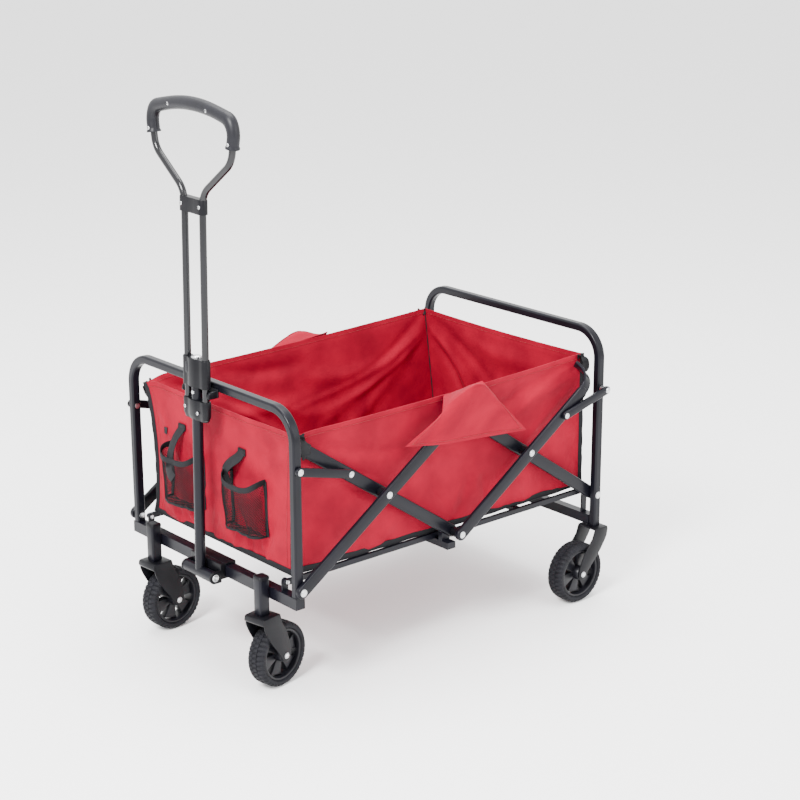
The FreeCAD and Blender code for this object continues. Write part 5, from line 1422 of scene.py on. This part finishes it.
    def saddle(self) -> None:
        """The saddle on the cross bar and the clip on the top bar."""
        bag = MeshBag()
        bag.box(at(-48, -401.3, 177.7), at(48, -390.2, 208.3))
        bag.box(at(-48, -390.5, 204.2), at(48, -366, 208.3))
        bag.box(at(-48, -369.8, 177.7), at(48, -365.8, 208.3))
        bag.box(at(-48, -401.3, 177.7), at(48, -365.8, 181.8))
        reach, turns = 11.9, [math.pi * (0.5 + k / 14) for k in range(15)]
        lug = [(-413.3 + reach * math.cos(a), 184 + reach * math.sin(a)) for a in turns]
        lug += [(-399.0, 172.1), (-399.0, 195.9)]
        for side in Side:
            x = 42.7 if side is Side.RIGHT else -48.0
            bag.prism([at(x, y, z) for y, z in lug], Vector((5.3 * MM, 0, 0)))
        bag.make(
            "Handle_saddle", NYLON, "front_frame", "black_plastic", replaces=["handle_saddle"], bevel=1.4
        )
        clip = MeshBag()
        clip.prism([at(a, -393, 535 + b) for a, b in rounded_rect(87, 16, 3)], Vector((0, 4 * MM, 0)))
        jaw = [(-392.0, -7.0), (-409.0, -7.0), (-412.0, -4.0), (-411.0, 2.0), (-408.0, 6.0), (-392.0, 7.0)]
        for side in Side:
            x = 37.2 if side is Side.RIGHT else -43.0
            clip.prism([at(x, y, 534.5 + z) for y, z in jaw], Vector((5.8 * MM, 0, 0)))
        clip.make("Handle_clip", NYLON, "front_frame", "black_plastic", replaces=["handle_clip"], bevel=1.2)

    def build(self) -> None:
        """Builds the handle and what it is fixed to."""
        restyle(GLOSS_TUBE, "handle_loop_tube")
        self.block("Collar", 298, 336, NYLON, "upper_handle", "handle_collar", taper=0.25, waist=12.2)
        self.block("Upper_clamp", 680, 707, NYLON, "upper_handle", "handle_clamp", waist=7.5)
        self.lower()
        self.grip()
        self.screws()
        self.saddle()


# ---- Fabric
@dataclass(frozen=True)
class Crease:
    """A soft fold in a panel: a ridge from one place to another, in the panel's own shares."""

    start: tuple[float, float]
    end: tuple[float, float]
    depth: float
    width: float

    def height(self, u: float, v: float, wide: float, tall: float) -> float:
        """Height of the fold at a place of a panel.

        Args:
            u: the place's share of the panel's width.
            v: its share of the height.
            wide: the panel's width, in millimetres.
            tall: its height.

        Returns:
            The height, in millimetres.
        """
        ax, ay = self.start[0] * wide, self.start[1] * tall
        dx, dy = self.end[0] * wide - ax, self.end[1] * tall - ay
        length = math.hypot(dx, dy)
        px, py = u * wide - ax, v * tall - ay
        along = (px * dx + py * dy) / length
        t = along / length
        if not -0.15 < t < 1.15:
            return 0.0
        bend = 0.05 * length * math.sin(math.pi * t)
        off = (px * dy - py * dx) / length - bend
        taper = max(0.0, math.sin(math.pi * min(1.0, max(0.0, (t + 0.15) / 1.3)))) ** 0.8
        return self.depth * taper * math.exp(-(off / self.width) ** 2)


def creases(seed: int, corners: float, low: float, across: float) -> list[Crease]:
    """Folds of a hung panel.

    Args:
        seed: picks the arrangement.
        corners: depth of the folds that run from the hung corners, in millimetres.
        low: depth of the ripples near the bottom.
        across: depth of the slack folds across the middle.

    Returns:
        The folds.
    """
    pick = random.Random(seed)
    folds: list[Crease] = []
    for end in (0.0, 1.0):
        way = 1 if end == 0.0 else -1
        for k in range(5):
            reach = pick.uniform(0.22, 0.5)
            fall = pick.uniform(0.25, 0.95)
            folds.append(Crease(
                (end + way * 0.01, 0.97 - 0.04 * k), (end + way * reach, 0.97 - fall),
                corners * pick.uniform(0.5, 1.0) * pick.choice((-1, 1)), pick.uniform(6, 14),
            ))
    for k in range(9):
        u = pick.uniform(0.08, 0.9)
        lean = pick.uniform(-0.09, 0.09)
        folds.append(Crease(
            (u, 0.0), (
                u + lean, pick.uniform(0.16, 0.4)
            ), low * pick.uniform(0.5, 1.0) * pick.choice((-1, 1)), pick.uniform(5, 12),
        ))
    for k in range(4):
        v = pick.uniform(0.25, 0.85)
        u = pick.uniform(0.1, 0.5)
        folds.append(Crease(
            (u, v), (
                u + pick.uniform(0.25, 0.45), v + pick.uniform(-0.2, 0.2)
            ), across * pick.choice((-1, 1)), pick.uniform(12, 26),
        ))
    return folds


def drawn_in(here: Vector) -> Vector:
    """Where a place of the tub goes once its slack front corners sag and draw in.

    Args:
        here: the place, in millimetres.

    Returns:
        Where it goes, in millimetres.
    """
    rise = min(1.0, max(0.0, (here.z - 230) / 270))
    near = math.exp(-(((here.y + 364) / 55) ** 2) - ((abs(here.x) - 228) / 60) ** 2)
    tip = math.exp(-(((here.y + 365) / 26) ** 2) - ((abs(here.x) - 233) / 20) ** 2) * rise ** 8
    pull = (21.0 if here.x < 0 else 4.0) * near * math.sin(math.pi * rise) ** 0.6
    droop = (9.0 if here.x < 0 else 3.0) * tip
    return here - Vector((math.copysign(pull, here.x), 0, droop))


@dataclass
class Panel:
    """A hung rectangle of cloth between four corners, with folds and a sewn hem."""

    name: str
    corners: tuple[tuple[float, float, float], ...]
    outward: tuple[float, float, float]
    folds: list[Crease]
    sag: float = 4.0
    bulge: float = 5.0
    crumple: tuple[float, float, float] = (0.3, 0.0, 2.0)
    hem: float = 11.0

    def crumpled(self, u: float, v: float, wide: float, tall: float) -> float:
        """Sharp little folds near the bottom, deepest about one place of the edge.

        Args:
            u: the place's share of the panel's width.
            v: its share of the height.
            wide: the panel's width, in millimetres.
            tall: its height.

        Returns:
            Their height, in millimetres.
        """
        place, deepest, general = self.crumple
        seed = len(self.name) * 5.3
        x, y = u * wide, v * tall
        big = 1 - 2.2 * abs(noise.noise(Vector((x / 62 + 0.4 * y / 62, y / 78, seed))))
        small = 1 - 2.2 * abs(noise.noise(Vector((x / 27, y / 34 + x / 90, seed + 4))))
        near = math.exp(-(((u - place) / 0.34) ** 2) - (v / 0.42) ** 2)
        low = math.exp(-((v / 0.5) ** 2))
        return (big + 0.45 * small) * (deepest * near + general * (0.3 + 0.7 * low))

    def size(self) -> tuple[float, float]:
        """Rough width and height in millimetres."""
        a, b, _, d = (Vector(c) for c in self.corners)
        return (b - a).length, (d - a).length

    def point(self, u: float, v: float, lift: float = 0.0) -> Vector:
        """A place of the panel.

        Args:
            u: its share of the panel's width.
            v: its share of the height.
            lift: how far it stands off the cloth, in millimetres.

        Returns:
            The place, in metres.
        """
        a, b, c, d = (Vector(corner) for corner in self.corners)
        wide, tall = self.size()
        low, high = a.lerp(b, u), d.lerp(c, u)
        here = low.lerp(high, v)
        here.z -= self.sag * v ** 3 * math.sin(math.pi * u)
        edge = min(1.0, u * wide / 22, (1 - u) * wide / 22)
        hemmed = 1.0 if v * tall < tall - self.hem else 0.35
        folded = sum(f.height(u, v, wide, tall) for f in self.folds) + self.crumpled(u, v, wide, tall)
        height = folded * edge * min(1.0, v * tall / 14 + 0.25) * hemmed
        swell = self.bulge * math.sin(math.pi * u) ** 0.6 * math.sin(math.pi * min(1.0, v * 1.05)) * edge
        ripple = 0.9 * noise.noise(Vector((u * wide / 60, v * tall / 60, len(self.name) * 3.7))) * edge
        if v * tall > tall - self.hem:
            lift += 0.7
        return at(*drawn_in(here + Vector(self.outward) * (height + swell + ripple + lift)))

    def build(
        self, body: str, finish: Finish, replaces: Sequence[str] = (), squash: bool = False,
    ) -> bpy.types.Object:
        """Builds the panel as one sheet of cloth.

        Args:
            body: the body it rides on.
            finish: its finish.
            replaces: CAD nodes that it stands for.
            squash: whether it gets a copy of its mesh of its own.

        Returns:
            The panel.
        """
        wide, tall = self.size()
        bag = MeshBag()
        step = 5.0
        bag.sheet(lambda u, v: self.point(u, v), round(wide / step), round(tall / step))
        panel = bag.make(self.name, finish, body, "red_polyester", replaces=replaces, thick=1.3, smooth=60)
        if squash:
            squash_with_fold(panel)
        return panel


def squash_with_fold(piece: bpy.types.Object) -> None:
    """Gives a piece a copy of its mesh of its own.

    Args:
        piece: the piece.
    """
    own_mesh(piece)


def stitches(
    bag: MeshBag, line: Callable[[float], Vector], length: float, normal: Vector, pitch: float = 4.4,
) -> None:
    """Adds a row of stitches along a line.

    Args:
        bag: where they go.
        line: maps 0 to 1 to a point in metres.
        length: the line's length in millimetres.
        normal: direction off the cloth.
        pitch: from one stitch to the next, in millimetres.
    """
    count = max(2, round(length / pitch))
    for k in range(count):
        a, b = line((k + 0.15) / count), line((k + 0.85) / count)
        middle = (a + b) / 2 + normal * (0.35 * MM)
        bag.sweep([a, middle, b], circle(0.42, 6), normal)


@dataclass
class Tub:
    """The fabric tub: four hung panels, a floor, bindings on its edges and tabs at its corners."""

    low_half: float = 216.0
    high_half: float = 233.0
    front_low: float = -362.0
    front_high: float = -365.0
    rear_low: float = 368.0
    rear_high: float = 348.0
    floor: float = 230.0
    front_rim: float = 500.0
    rear_rim: float = 515.0

    def corner(self, side: Side, end: int, high: bool) -> tuple[float, float, float]:
        """A corner of the tub.

        Args:
            side: the wagon's side.
            end: -1 at the front and 1 at the rear.
            high: whether it is at the rim.

        Returns:
            The corner, in millimetres.
        """
        x = side.value * (self.high_half if high else self.low_half)
        if end < 0:
            return (x, self.front_high if high else self.front_low, self.front_rim if high else self.floor)
        return (x, self.rear_high if high else self.rear_low, self.rear_rim if high else self.floor)

    def panels(self) -> dict[str, Panel]:
        """The four hung panels."""
        left, right = Side.LEFT, Side.RIGHT
        plan = {
            "front": (
                (left, -1), (right, -1), (0, -1, 0), creases(11, 2.6, 5.0, 2.0), 2.5, 3.0, (0.2, 5.5, 0.9)
            ),
            "rear": ((right, 1), (left, 1), (0, 1, 0), creases(23, 4.4, 4.0, 4.0), 3.0, 4.0, (0.7, 2.0, 1.2)),
            "right": (
                (right, -1), (right, 1), (1, 0, 0), creases(37, 4.0, 3.6, 3.6), 5.0, 2.5, (0.9, 3.0, 0.9)
            ),
            "left": (
                (left, 1), (left, -1), (-1, 0, 0), creases(41, 5.4, 4.0, 4.6), 4.0, 2.5, (0.5, 2.0, 1.4)
            ),
        }
        made: dict[str, Panel] = {}
        for word, (first, last, *look) in plan.items():
            low = (self.corner(*first, False), self.corner(*last, False))
            high = (self.corner(*last, True), self.corner(*first, True))
            made[word] = Panel(f"Tub_{word}_panel", low + high, *look)
        return made

    def tape(self, bag: MeshBag, path: list[Vector], width: float, thick: float, up: Vector) -> None:
        """Adds a binding tape.

        Args:
            bag: where it goes.
            path: its centreline, in metres.
            width: its width upwards, in millimetres.
            thick: its thickness.
            up: the way its width runs.
        """
        bag.sweep(path, rounded_rect(thick, width, min(thick, width) * 0.45, 3), up)

    def bindings(self) -> None:
        """Black bindings up the corners and round the bottom, on the body each follows."""
        for word, end, body in (("front", -1, "front_frame"), ("rear", 1, "rear_frame")):
            bag = MeshBag()
            for side in Side:
                low, high = Vector(self.corner(side, end, False)), Vector(self.corner(side, end, True))
                path = []
                for k in range(25):
                    here = low.lerp(high, k / 24)
                    here += Vector((side.value, end, 0)) * (1.9 + 0.35 * math.sin(k * 1.7))
                    path.append(at(*drawn_in(here)))
                section = [(a * 0.75, b) for a, b in rounded_rect(13, 3.4, 1.5, 3)]
                bag.sweep(path, section, Vector((side.value, -end, 0)).normalized())
            low_a, low_b = (Vector(self.corner(side, end, False)) for side in (Side.LEFT, Side.RIGHT))
            bottom = [at(*(low_a.lerp(low_b, k / 30) + Vector((0, end * 1.6, 4.0)))) for k in range(31)]
            self.tape(bag, bottom, 12, 3.4, Vector((0, 0, 1)))
            bag.make(f"Tub_{word}_bindings", BLACK_TAPE, body, "black_webbing")
        bag = MeshBag()
        for side in Side:
            a, b = Vector(self.corner(side, -1, False)), Vector(self.corner(side, 1, False))
            bottom = []
            for k in range(61):
                off = Vector((side.value * 1.6, 0, 4.0 + 0.8 * math.sin(k * 0.9)))
                bottom.append(at(*(a.lerp(b, k / 60) + off)))
            self.tape(bag, bottom, 12, 3.4, Vector((0, 0, 1)))
        squash_with_fold(bag.make("Tub_side_bindings", BLACK_TAPE, "front_frame", "black_webbing"))

    def seams(self, panels: dict[str, Panel]) -> None:
        """Rows of stitches along the hems and beside the corners, on the panels given."""
        for word, panel in panels.items():
            bag = MeshBag()
            wide, tall = panel.size()
            line = 1 - panel.hem / tall
            outward = Vector(panel.outward)
            for sign in (1, -1):
                stitches(
                    bag, lambda t, s=sign: panel.point(0.01 + 0.98 * t, line + 0.006, s * 1.0),
                    wide * 0.98, outward * sign,
                )
            if word == "front":
                for u in (0.028, 0.972):
                    stitches(bag, lambda t, w=u: panel.point(w, 0.04 + 0.9 * t, 0.8), tall * 0.9, outward)
            body = "rear_frame" if word == "rear" else "front_frame"
            piece = bag.make(f"Tub_{word}_stitches", THREAD, body, "red_polyester")
            if word in ("right", "left"):
                squash_with_fold(piece)

    def base(self) -> None:
        """The tub's floor."""
        bag = MeshBag()

        def place(u: float, v: float) -> Vector:
            """A place of the floor, u across it and v along it."""
            x = -self.low_half + 2 * self.low_half * u
            y = self.front_low + (self.rear_low - self.front_low) * v
            dip = 0.8 * noise.noise(Vector((x / 70, y / 70, 5.0)))
            return at(x * 0.998, y, self.floor + 1.0 + dip)

        bag.sheet(place, 40, 66)
        floor = bag.make("Tub_floor", RED_OXFORD, "front_frame", "red_polyester", thick=1.6)
        squash_with_fold(floor)

    def tabs(self) -> None:
        """Webbing tabs from the rim's corners to the bars that carry them."""
        front, rear = MeshBag(), MeshBag()
        for side in Side:
            x = side.value
            sag = 9.0 if side is Side.LEFT else 3.0
            path = [
                at(x * 235.0, -350, 497 - sag), at(x * 236.5, -355, 496 - sag),
                at(x * 239.5, -358, 489 - sag / 2), at(x * 246.6, -356, 480), at(x * 247.2, -351, 466),
                at(x * 243.5, -346, 457),
            ]
            front.sweep(smooth_path(path, 5), rounded_rect(1.8, 20, 0.8, 2), Vector((0, 1, 0.35)))
            path = [
                at(x * 235.0, 338, 508), at(x * 237, 342, 509), at(x * 240.5, 347, 506), at(
                    x * 243.5, 352, 499
                ),
                at(x * 243.0, 353, 487), at(x * 238, 352, 478),
            ]
            rear.sweep(smooth_path(path, 5), rounded_rect(1.8, 20, 0.8, 2), Vector((0, 1, -0.35)))
        front.make("Corner_tabs_front", WEBBING, "front_frame", "black_webbing")
        rear.make("Corner_tabs_rear", WEBBING, "rear_frame", "black_webbing")

    def build(self) -> None:
        """Builds the tub."""
        panels = self.panels()
        panels["front"].build("front_frame", RED_OXFORD, ["basket"])
        panels["rear"].build("rear_frame", RED_OXFORD)
        panels["right"].build("front_frame", RED_OXFORD, squash=True)
        panels["left"].build("front_frame", RED_OXFORD, squash=True)
        self.bindings()
        self.seams(panels)
        self.base()
        self.tabs()


@dataclass
class SideFlaps:
    """Tents of cloth over the two high joints of the scissor, sewn to the tub's rim."""

    rim: Points = ((234.5, -16, 500.5), (234.5, 16, 503.5), (234.5, 50, 507), (234.5, 82, 510))
    ridge: Points = ((274, -54, 482), (276.5, -30, 502), (277, 40, 524), (276, 92, 476))
    skirt: Points = ((278.5, -148, 441), (280, -60, 427), (280, 50, 417), (278.5, 157, 408))
    left_drop: float = 10.0
    split: float = 0.34

    def curve(self, points: Points, u: float) -> Vector:
        """A place on the smooth line through four points.

        Args:
            points: the four points, in millimetres.
            u: how far along the line, from 0 to 1.

        Returns:
            The place, in millimetres.
        """
        p = [Vector(q) for q in points]
        padded = [p[0] * 2 - p[1], *p, p[3] * 2 - p[2]]
        scaled = min(u, 0.99999) * 3
        i, t = int(scaled), scaled - int(scaled)
        return through(*padded[i:i + 4], t)

    def point(self, side: Side, u: float, v: float, lift: float = 0.0) -> Vector:
        """A place of the flap.

        Args:
            side: the wagon's side.
            u: its share of the flap's length.
            v: its share of the way from the rim to the skirt's edge.
            lift: how far it stands off the cloth, in millimetres.

        Returns:
            The place, in metres.
        """
        rim, ridge, skirt = (self.curve(line, u) for line in (self.rim, self.ridge, self.skirt))
        if side is Side.LEFT:
            ridge.z -= self.left_drop
        split = self.split
        if v < split:
            t = v / split
            here = rim.lerp(ridge, t)
            here.z += 2.0 * math.sin(math.pi * t) * math.sin(math.pi * u)
            normal = Vector((0.25, 0, 1))
        else:
            t = (v - split) / (1 - split)
            here = ridge.lerp(skirt, t)
            normal = Vector((1, 0, 0.15))
        spread = 1.7 * max(0.0, t if v >= split else 0.25 * t) + 0.4
        fan = math.sin(u * 17 + 2.2 * math.sin(5 * u)) * spread
        round_off = -3.4 * math.exp(-((v - split) / 0.07) ** 2)
        ripple = 0.8 * noise.noise(Vector((u * 6, v * 4, side.value * 3.0)))
        here += normal.normalized() * (fan * 0.75 + round_off + ripple + lift)
        return at(side.value * here.x, here.y, here.z)

    def build(self) -> None:
        """Builds both flaps with their hems and stitches."""
        for side in Side:
            bag = MeshBag()
            bag.sheet(lambda u, v: self.point(side, u, v), 60, 34)
            flap = bag.make(
                f"Side_flap_{side.word}", RED_OXFORD, "", "red_polyester",
                replaces=["side_flaps"] if side is Side.RIGHT else [], thick=1.3, smooth=60,
            )
            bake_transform(flap)
            seams = MeshBag()
            out = Vector((side.value, 0, 0))
            stitches(seams, lambda t: self.point(side, 0.03 + 0.94 * t, 0.955, 1.0), 310, out)
            out = Vector((side.value, 0, 0.3))
            for u in (0.035, 0.965):
                stitches(seams, lambda t, w=u: self.point(side, w, 0.05 + 0.9 * t, 1.0), 130, out)
            sewing = seams.make(f"Side_flap_stitches_{side.word}", THREAD, "", "red_polyester")
            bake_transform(sewing)


@dataclass
class CupPockets:
    """Two netting pouches on the front panel, with elastic rims and webbing straps."""

    middle: float = 96.0
    half: float = 52.0
    deep: float = 36.0
    low: float = 284.0
    high: float = 391.0
    clear: float = 1.6
    thread: float = 0.55
    tub: Tub = field(default_factory=Tub)
    front: Panel = field(init=False)

    def __post_init__(self) -> None:
        """Keeps the panel that the pockets are sewn to."""
        self.front = self.tub.panels()["front"]

    def place(self, x: float, out: float, z: float) -> Vector:
        """A place in front of the tub's front cloth.

        Args:
            x: its place across the wagon, in millimetres.
            out: how far it stands out from the cloth.
            z: its height.

        Returns:
            The place, in metres.
        """
        tub = self.tub
        v = (z - tub.floor) / (tub.front_rim - tub.floor)
        half = tub.low_half + (tub.high_half - tub.low_half) * v
        here = at(x, 0, z)
        here.y = self.front.point((x + half) / (2 * half), v).y - (out + self.clear) * MM
        return here

    def pouch(self, side: Side, u: float, v: float) -> Vector:
        """A place on the net.

        Args:
            side: the wagon's side.
            u: its share of the way round the net, from side to side.
            v: its share of the net's height.

        Returns:
            The place, in metres.
        """
        turn = math.pi * (u - 0.5)
        x = math.copysign(abs(math.sin(turn)) ** 0.62, math.sin(turn)) * self.half
        out = max(0.0, math.cos(turn)) ** 0.5 * self.deep * (0.80 + 0.2 * min(1.0, v * 2.2))
        out -= 1.8 * math.sin(math.pi * v)
        wobble = 0.8 * noise.noise(Vector((u * 5, v * 4, side.value * 2.0)))
        droop = 17.0 * v ** 2 * math.sin(math.pi * u) ** 1.4
        z = self.low + (self.high - self.low) * v - droop
        return self.place(side.value * self.middle + x, out + wobble, z)

    def threads(self, side: Side, bag: MeshBag) -> None:
        """Adds diagonal threads both ways over the pouch.

        Args:
            side: the wagon's side.
            bag: where they go.
        """
        width, tall, steps = 152.0, self.high - self.low, 22
        pitch = 5.2
        normal = Vector((0, -1, 0))
        count = int((width + tall) / pitch)
        for lean in (1, -1):
            for k in range(1, count):
                start = k * pitch - tall
                path = []
                for i in range(steps + 1):
                    v = i / steps
                    w = (start + tall * v) / width
                    if 0 <= w <= 1:
                        u = w if lean > 0 else 1 - w
                        path.append(self.pouch(side, u, v) + normal * (0.25 * lean * MM))
                if len(path) > 1:
                    bag.sweep(path, circle(self.thread, 4), Vector((0.3, -1, 0.1)))

    def bottom(self, side: Side, bag: MeshBag) -> None:
        """Adds the net's bottom."""
        pitch = 5.2
        for lean in (1, -1):
            for k in range(-8, int(2 * self.half / pitch) + 8):
                x0 = -self.half + k * pitch
                path = []
                for i in range(9):
                    out = self.deep * 0.8 * i / 8
                    x = x0 + lean * out
                    limit = self.half * (1 - (out / (self.deep * 0.82)) ** 2 * 0.35)
                    if abs(x) < limit:
                        z = self.low + 0.5 * math.sin(i + k)
                        path.append(self.place(side.value * self.middle + x, out, z))
                if len(path) > 1:
                    bag.sweep(path, circle(self.thread, 4), Vector((0, 0, 1)))

    def build(self) -> None:
        """Builds both pockets."""
        straps, thread = MeshBag(), MeshBag()
        runs = {
            Side.RIGHT: (
                (0, 0.8, 434), (-1, 1.8, 427), (-8, 6, 417), (-20, 13, 406), (-29, 18, 393),
                (-31, 16, 378), (-28, 11, 364),
            ),
            Side.LEFT: (
                (0, 0.8, 434), (-1, 2.4, 426), (-4, 12, 411), (-2, 24, 392), (4, 32, 370),
                (12, 35, 352), (24, 36, 342),
            ),
        }
        for side in Side:
            net = MeshBag()
            self.threads(side, net)
            self.bottom(side, net)
            net.make(
                f"Cup_pocket_net_{side.word}", NETTING, "front_frame", "black_mesh",
                replaces=[f"cup_pocket_{side.word}"],
            )
            trim = MeshBag()
            rim = [self.pouch(side, k / 48, 0.985) for k in range(49)]
            trim.sweep(rim, rounded_rect(2.2, 11, 1.0, 3), Vector((0, 0, 1)))
            foot = [self.pouch(side, k / 48, 0.01) for k in range(49)]
            trim.sweep(foot, rounded_rect(2.0, 5, 0.9, 3), Vector((0, 0, 1)))
            for u in (0.0, 1.0):
                edge = [self.pouch(side, u, k / 10) + Vector((0, -0.6 * MM, 0)) for k in range(11)]
                trim.sweep(edge, rounded_rect(9, 1.8, 0.8, 3), Vector((0, -1, 0)))
            trim.make(f"Cup_pocket_trim_{side.word}", BLACK_TAPE, "front_frame", "black_mesh")
            x = 80.0 if side is Side.RIGHT else -112.0
            path = smooth_path([self.place(x + a, out, z) for a, out, z in runs[side]], 5)
            straps.sweep(path, rounded_rect(20, 1.6, 0.7, 2), Vector((0, -1, 0.2)))
            patch = [self.place(x + a, 1.8, 430 + b) for a, b in rounded_rect(22, 13, 1.2, 2)]
            straps.prism(patch, Vector((0, 1.4 * MM, 0)))
            box_line = [(-8, 425), (8, 425), (8, 435), (-8, 435), (-8, 425)]
            for (ax, az), (bx, bz) in zip(box_line, box_line[1:]):
                a, b = self.place(x + ax, 2.1, az), self.place(x + bx, 2.1, bz)
                stitches(
                    thread, lambda t, p=a, q=b: p.lerp(q, t), (b - a).length / MM,
                    Vector((0, -1, 0)), 3.2,
                )
        tab = [self.place(-163 + a, 1.4, 411 + b) for a, b in rounded_rect(9, 13, 1.0, 2)]
        straps.prism(tab, Vector((0, 1.2 * MM, 0)))
        straps.make(
            "Pocket_straps", WEBBING, "front_frame", "black_webbing", replaces=["pocket_straps"]
        )
        thread.make("Pocket_strap_stitches", NETTING, "front_frame", "black_webbing")


@dataclass
class FloorMat:
    """A quilted mat of four padded boards, hinged on sewn lines."""

    half: float = 209.0
    front: float = -355.0
    rear: float = 361.0
    low: float = 233.0
    panels: int = 4
    gap: float = 4.0

    def pitch(self) -> float:
        """From one board to the next, in millimetres."""
        return (self.rear - self.front + self.gap) / self.panels

    def cushion(self, index: int) -> bpy.types.Object:
        """Builds one padded board.

        Args:
            index: its place in the row, from 0 at the front.

        Returns:
            The board.
        """
        start = self.front + index * self.pitch()
        length = self.pitch() - self.gap
        bag = MeshBag()
        across, along = 44, 20

        def face(u: float, v: float, top: bool) -> Vector:
            """A place of the board's top or underside, u across it and v along it."""
            x, y = -self.half + 2 * self.half * u, start + length * v
            edge = min(1.0, 2 * self.half * min(u, 1 - u) / 26, length * min(v, 1 - v) / 26)
            rise = math.sqrt(max(0.0, 1 - (1 - edge) ** 2))
            quilt = 0.75 + 0.25 * abs(math.sin(math.pi * u * 3)) ** 0.5
            crumple = 0.7 * noise.noise(Vector((x / 24, y / 24, index * 2.3)))
            crumple += 0.5 * noise.noise(Vector((x / 9, y / 11, 7.0)))
            z = self.low + 1.6 + (5.6 * rise * quilt + crumple * edge if top else -1.4 * rise)
            return at(x, y, z)

        bag.sheet(lambda u, v: face(u, v, True), across, along)
        bag.sheet(lambda u, v: face(1 - u, v, False), across, along)
        mat = bag.make(
            f"Floor_mat_{index + 1}", RED_LINING, "front_frame", "mat_cloth",
            replaces=["floor_mat"] if index == 0 else [], smooth=60,
        )
        weld(mat)
        squash_with_fold(mat)
        return mat

    def build(self) -> None:
        """Builds the boards and the hinge cloth between them."""
        for index in range(self.panels):
            self.cushion(index)
        bag = MeshBag()
        for index in range(1, self.panels):
            y = self.front + index * self.pitch() - self.gap / 2
            path = [at(-self.half + 2 * self.half * k / 20, y, self.low + 1.7) for k in range(21)]
            bag.sweep(path, rounded_rect(self.gap + 3, 1.2, 0.5, 2), Vector((0, 0, 1)))
        squash_with_fold(bag.make("Floor_mat_hinges", RED_LINING, "front_frame", "mat_cloth"))


def weld(piece: bpy.types.Object) -> None:
    """Joins the doubled points of a piece's mesh.

    Args:
        piece: the piece.
    """
    work = bmesh.new()
    work.from_mesh(piece.data)
    bmesh.ops.remove_doubles(work, verts=work.verts[:], dist=0.00005)
    bmesh.ops.recalc_face_normals(work, faces=work.faces[:])
    work.to_mesh(piece.data)
    work.free()


# ---- Studio
@dataclass
class Studio:
    """A pale sweep, soft lights and the camera."""

    lens: float = 86.36
    sensor: float = 36.0
    eye: tuple[float, float, float] = (2774.7, -2293.5, 1553.9)
    yaw: float = math.radians(139.48)
    pitch: float = math.radians(17.28)
    roll: float = math.radians(-0.15)

    def camera(self) -> None:
        """Puts the camera at the customer's three-quarter view."""
        data = bpy.data.cameras.new("Camera")
        data.lens = self.lens
        data.sensor_width = self.sensor
        data.clip_end = 50
        camera = bpy.data.objects.new("Camera", data)
        bpy.context.scene.collection.objects.link(camera)
        flat = math.cos(self.pitch)
        ahead = Vector((flat * math.cos(self.yaw), flat * math.sin(self.yaw), -math.sin(self.pitch)))
        turn = ahead.to_track_quat("-Z", "Y").to_matrix().to_4x4() @ Matrix.Rotation(self.roll, 4, "Z")
        camera.matrix_world = Matrix.Translation(at(*self.eye)) @ turn
        bpy.context.scene.camera = camera

    def light(
        self, name: str, place: tuple[float, float, float], size: float, power: float,
        aim: tuple[float, float, float] = (0, 0, 0.35),
    ) -> None:
        """Adds a soft square light.

        Args:
            name: its name.
            place: where it stands, in metres.
            size: its width.
            power: its power, in watts.
            aim: the point that it shines on.
        """
        data = bpy.data.lights.new(name, "AREA")
        data.energy = power
        data.size = size
        lamp = bpy.data.objects.new(name, data)
        bpy.context.scene.collection.objects.link(lamp)
        lamp.location = place
        lamp.rotation_euler = (Vector(aim) - Vector(place)).to_track_quat("-Z", "Y").to_euler()

    def floor(self) -> None:
        """A plain pale floor."""
        mesh = bpy.data.meshes.new("Floor")
        wide = 14.0
        corners = [(-wide, -wide, 0), (wide, -wide, 0), (wide, wide, 0), (-wide, wide, 0)]
        mesh.from_pydata(corners, [], [(0, 1, 2, 3)])
        floor = bpy.data.objects.new("Floor", mesh)
        bpy.context.scene.collection.objects.link(floor)
        mesh.materials.append(Finish("Studio_paper_white", "fbfbfb", "fbfbfb", 0.9).material())

    def build(self) -> None:
        """Builds the studio."""
        self.floor()
        self.light("Key", (1.2, -3.0, 3.2), 1.2, 450)
        self.light("Fill", (3.4, 1.0, 2.0), 2.4, 90)
        self.light("Top", (-0.4, 0.2, 3.6), 2.4, 220)
        world = bpy.data.worlds.new("Studio")
        world.use_nodes = True
        background = world.node_tree.nodes["Background"]
        background.inputs["Color"].default_value = (1, 1, 1, 1)
        background.inputs["Strength"].default_value = 2.8
        bpy.context.scene.world = world


def main() -> None:
    """Builds the studio and every sub-assembly in order."""
    logging.basicConfig(level=logging.INFO, format="%(name)s %(message)s")
    studio = Studio()
    studio.camera()
    studio.build()
    for part in (ScissorFrame(), RunningGear(), PullHandle(), Tub(), SideFlaps(), CupPockets(), FloorMat()):
        LOG.info("building %s", type(part).__name__)
        part.build()


if __name__ == "__main__":
    main()
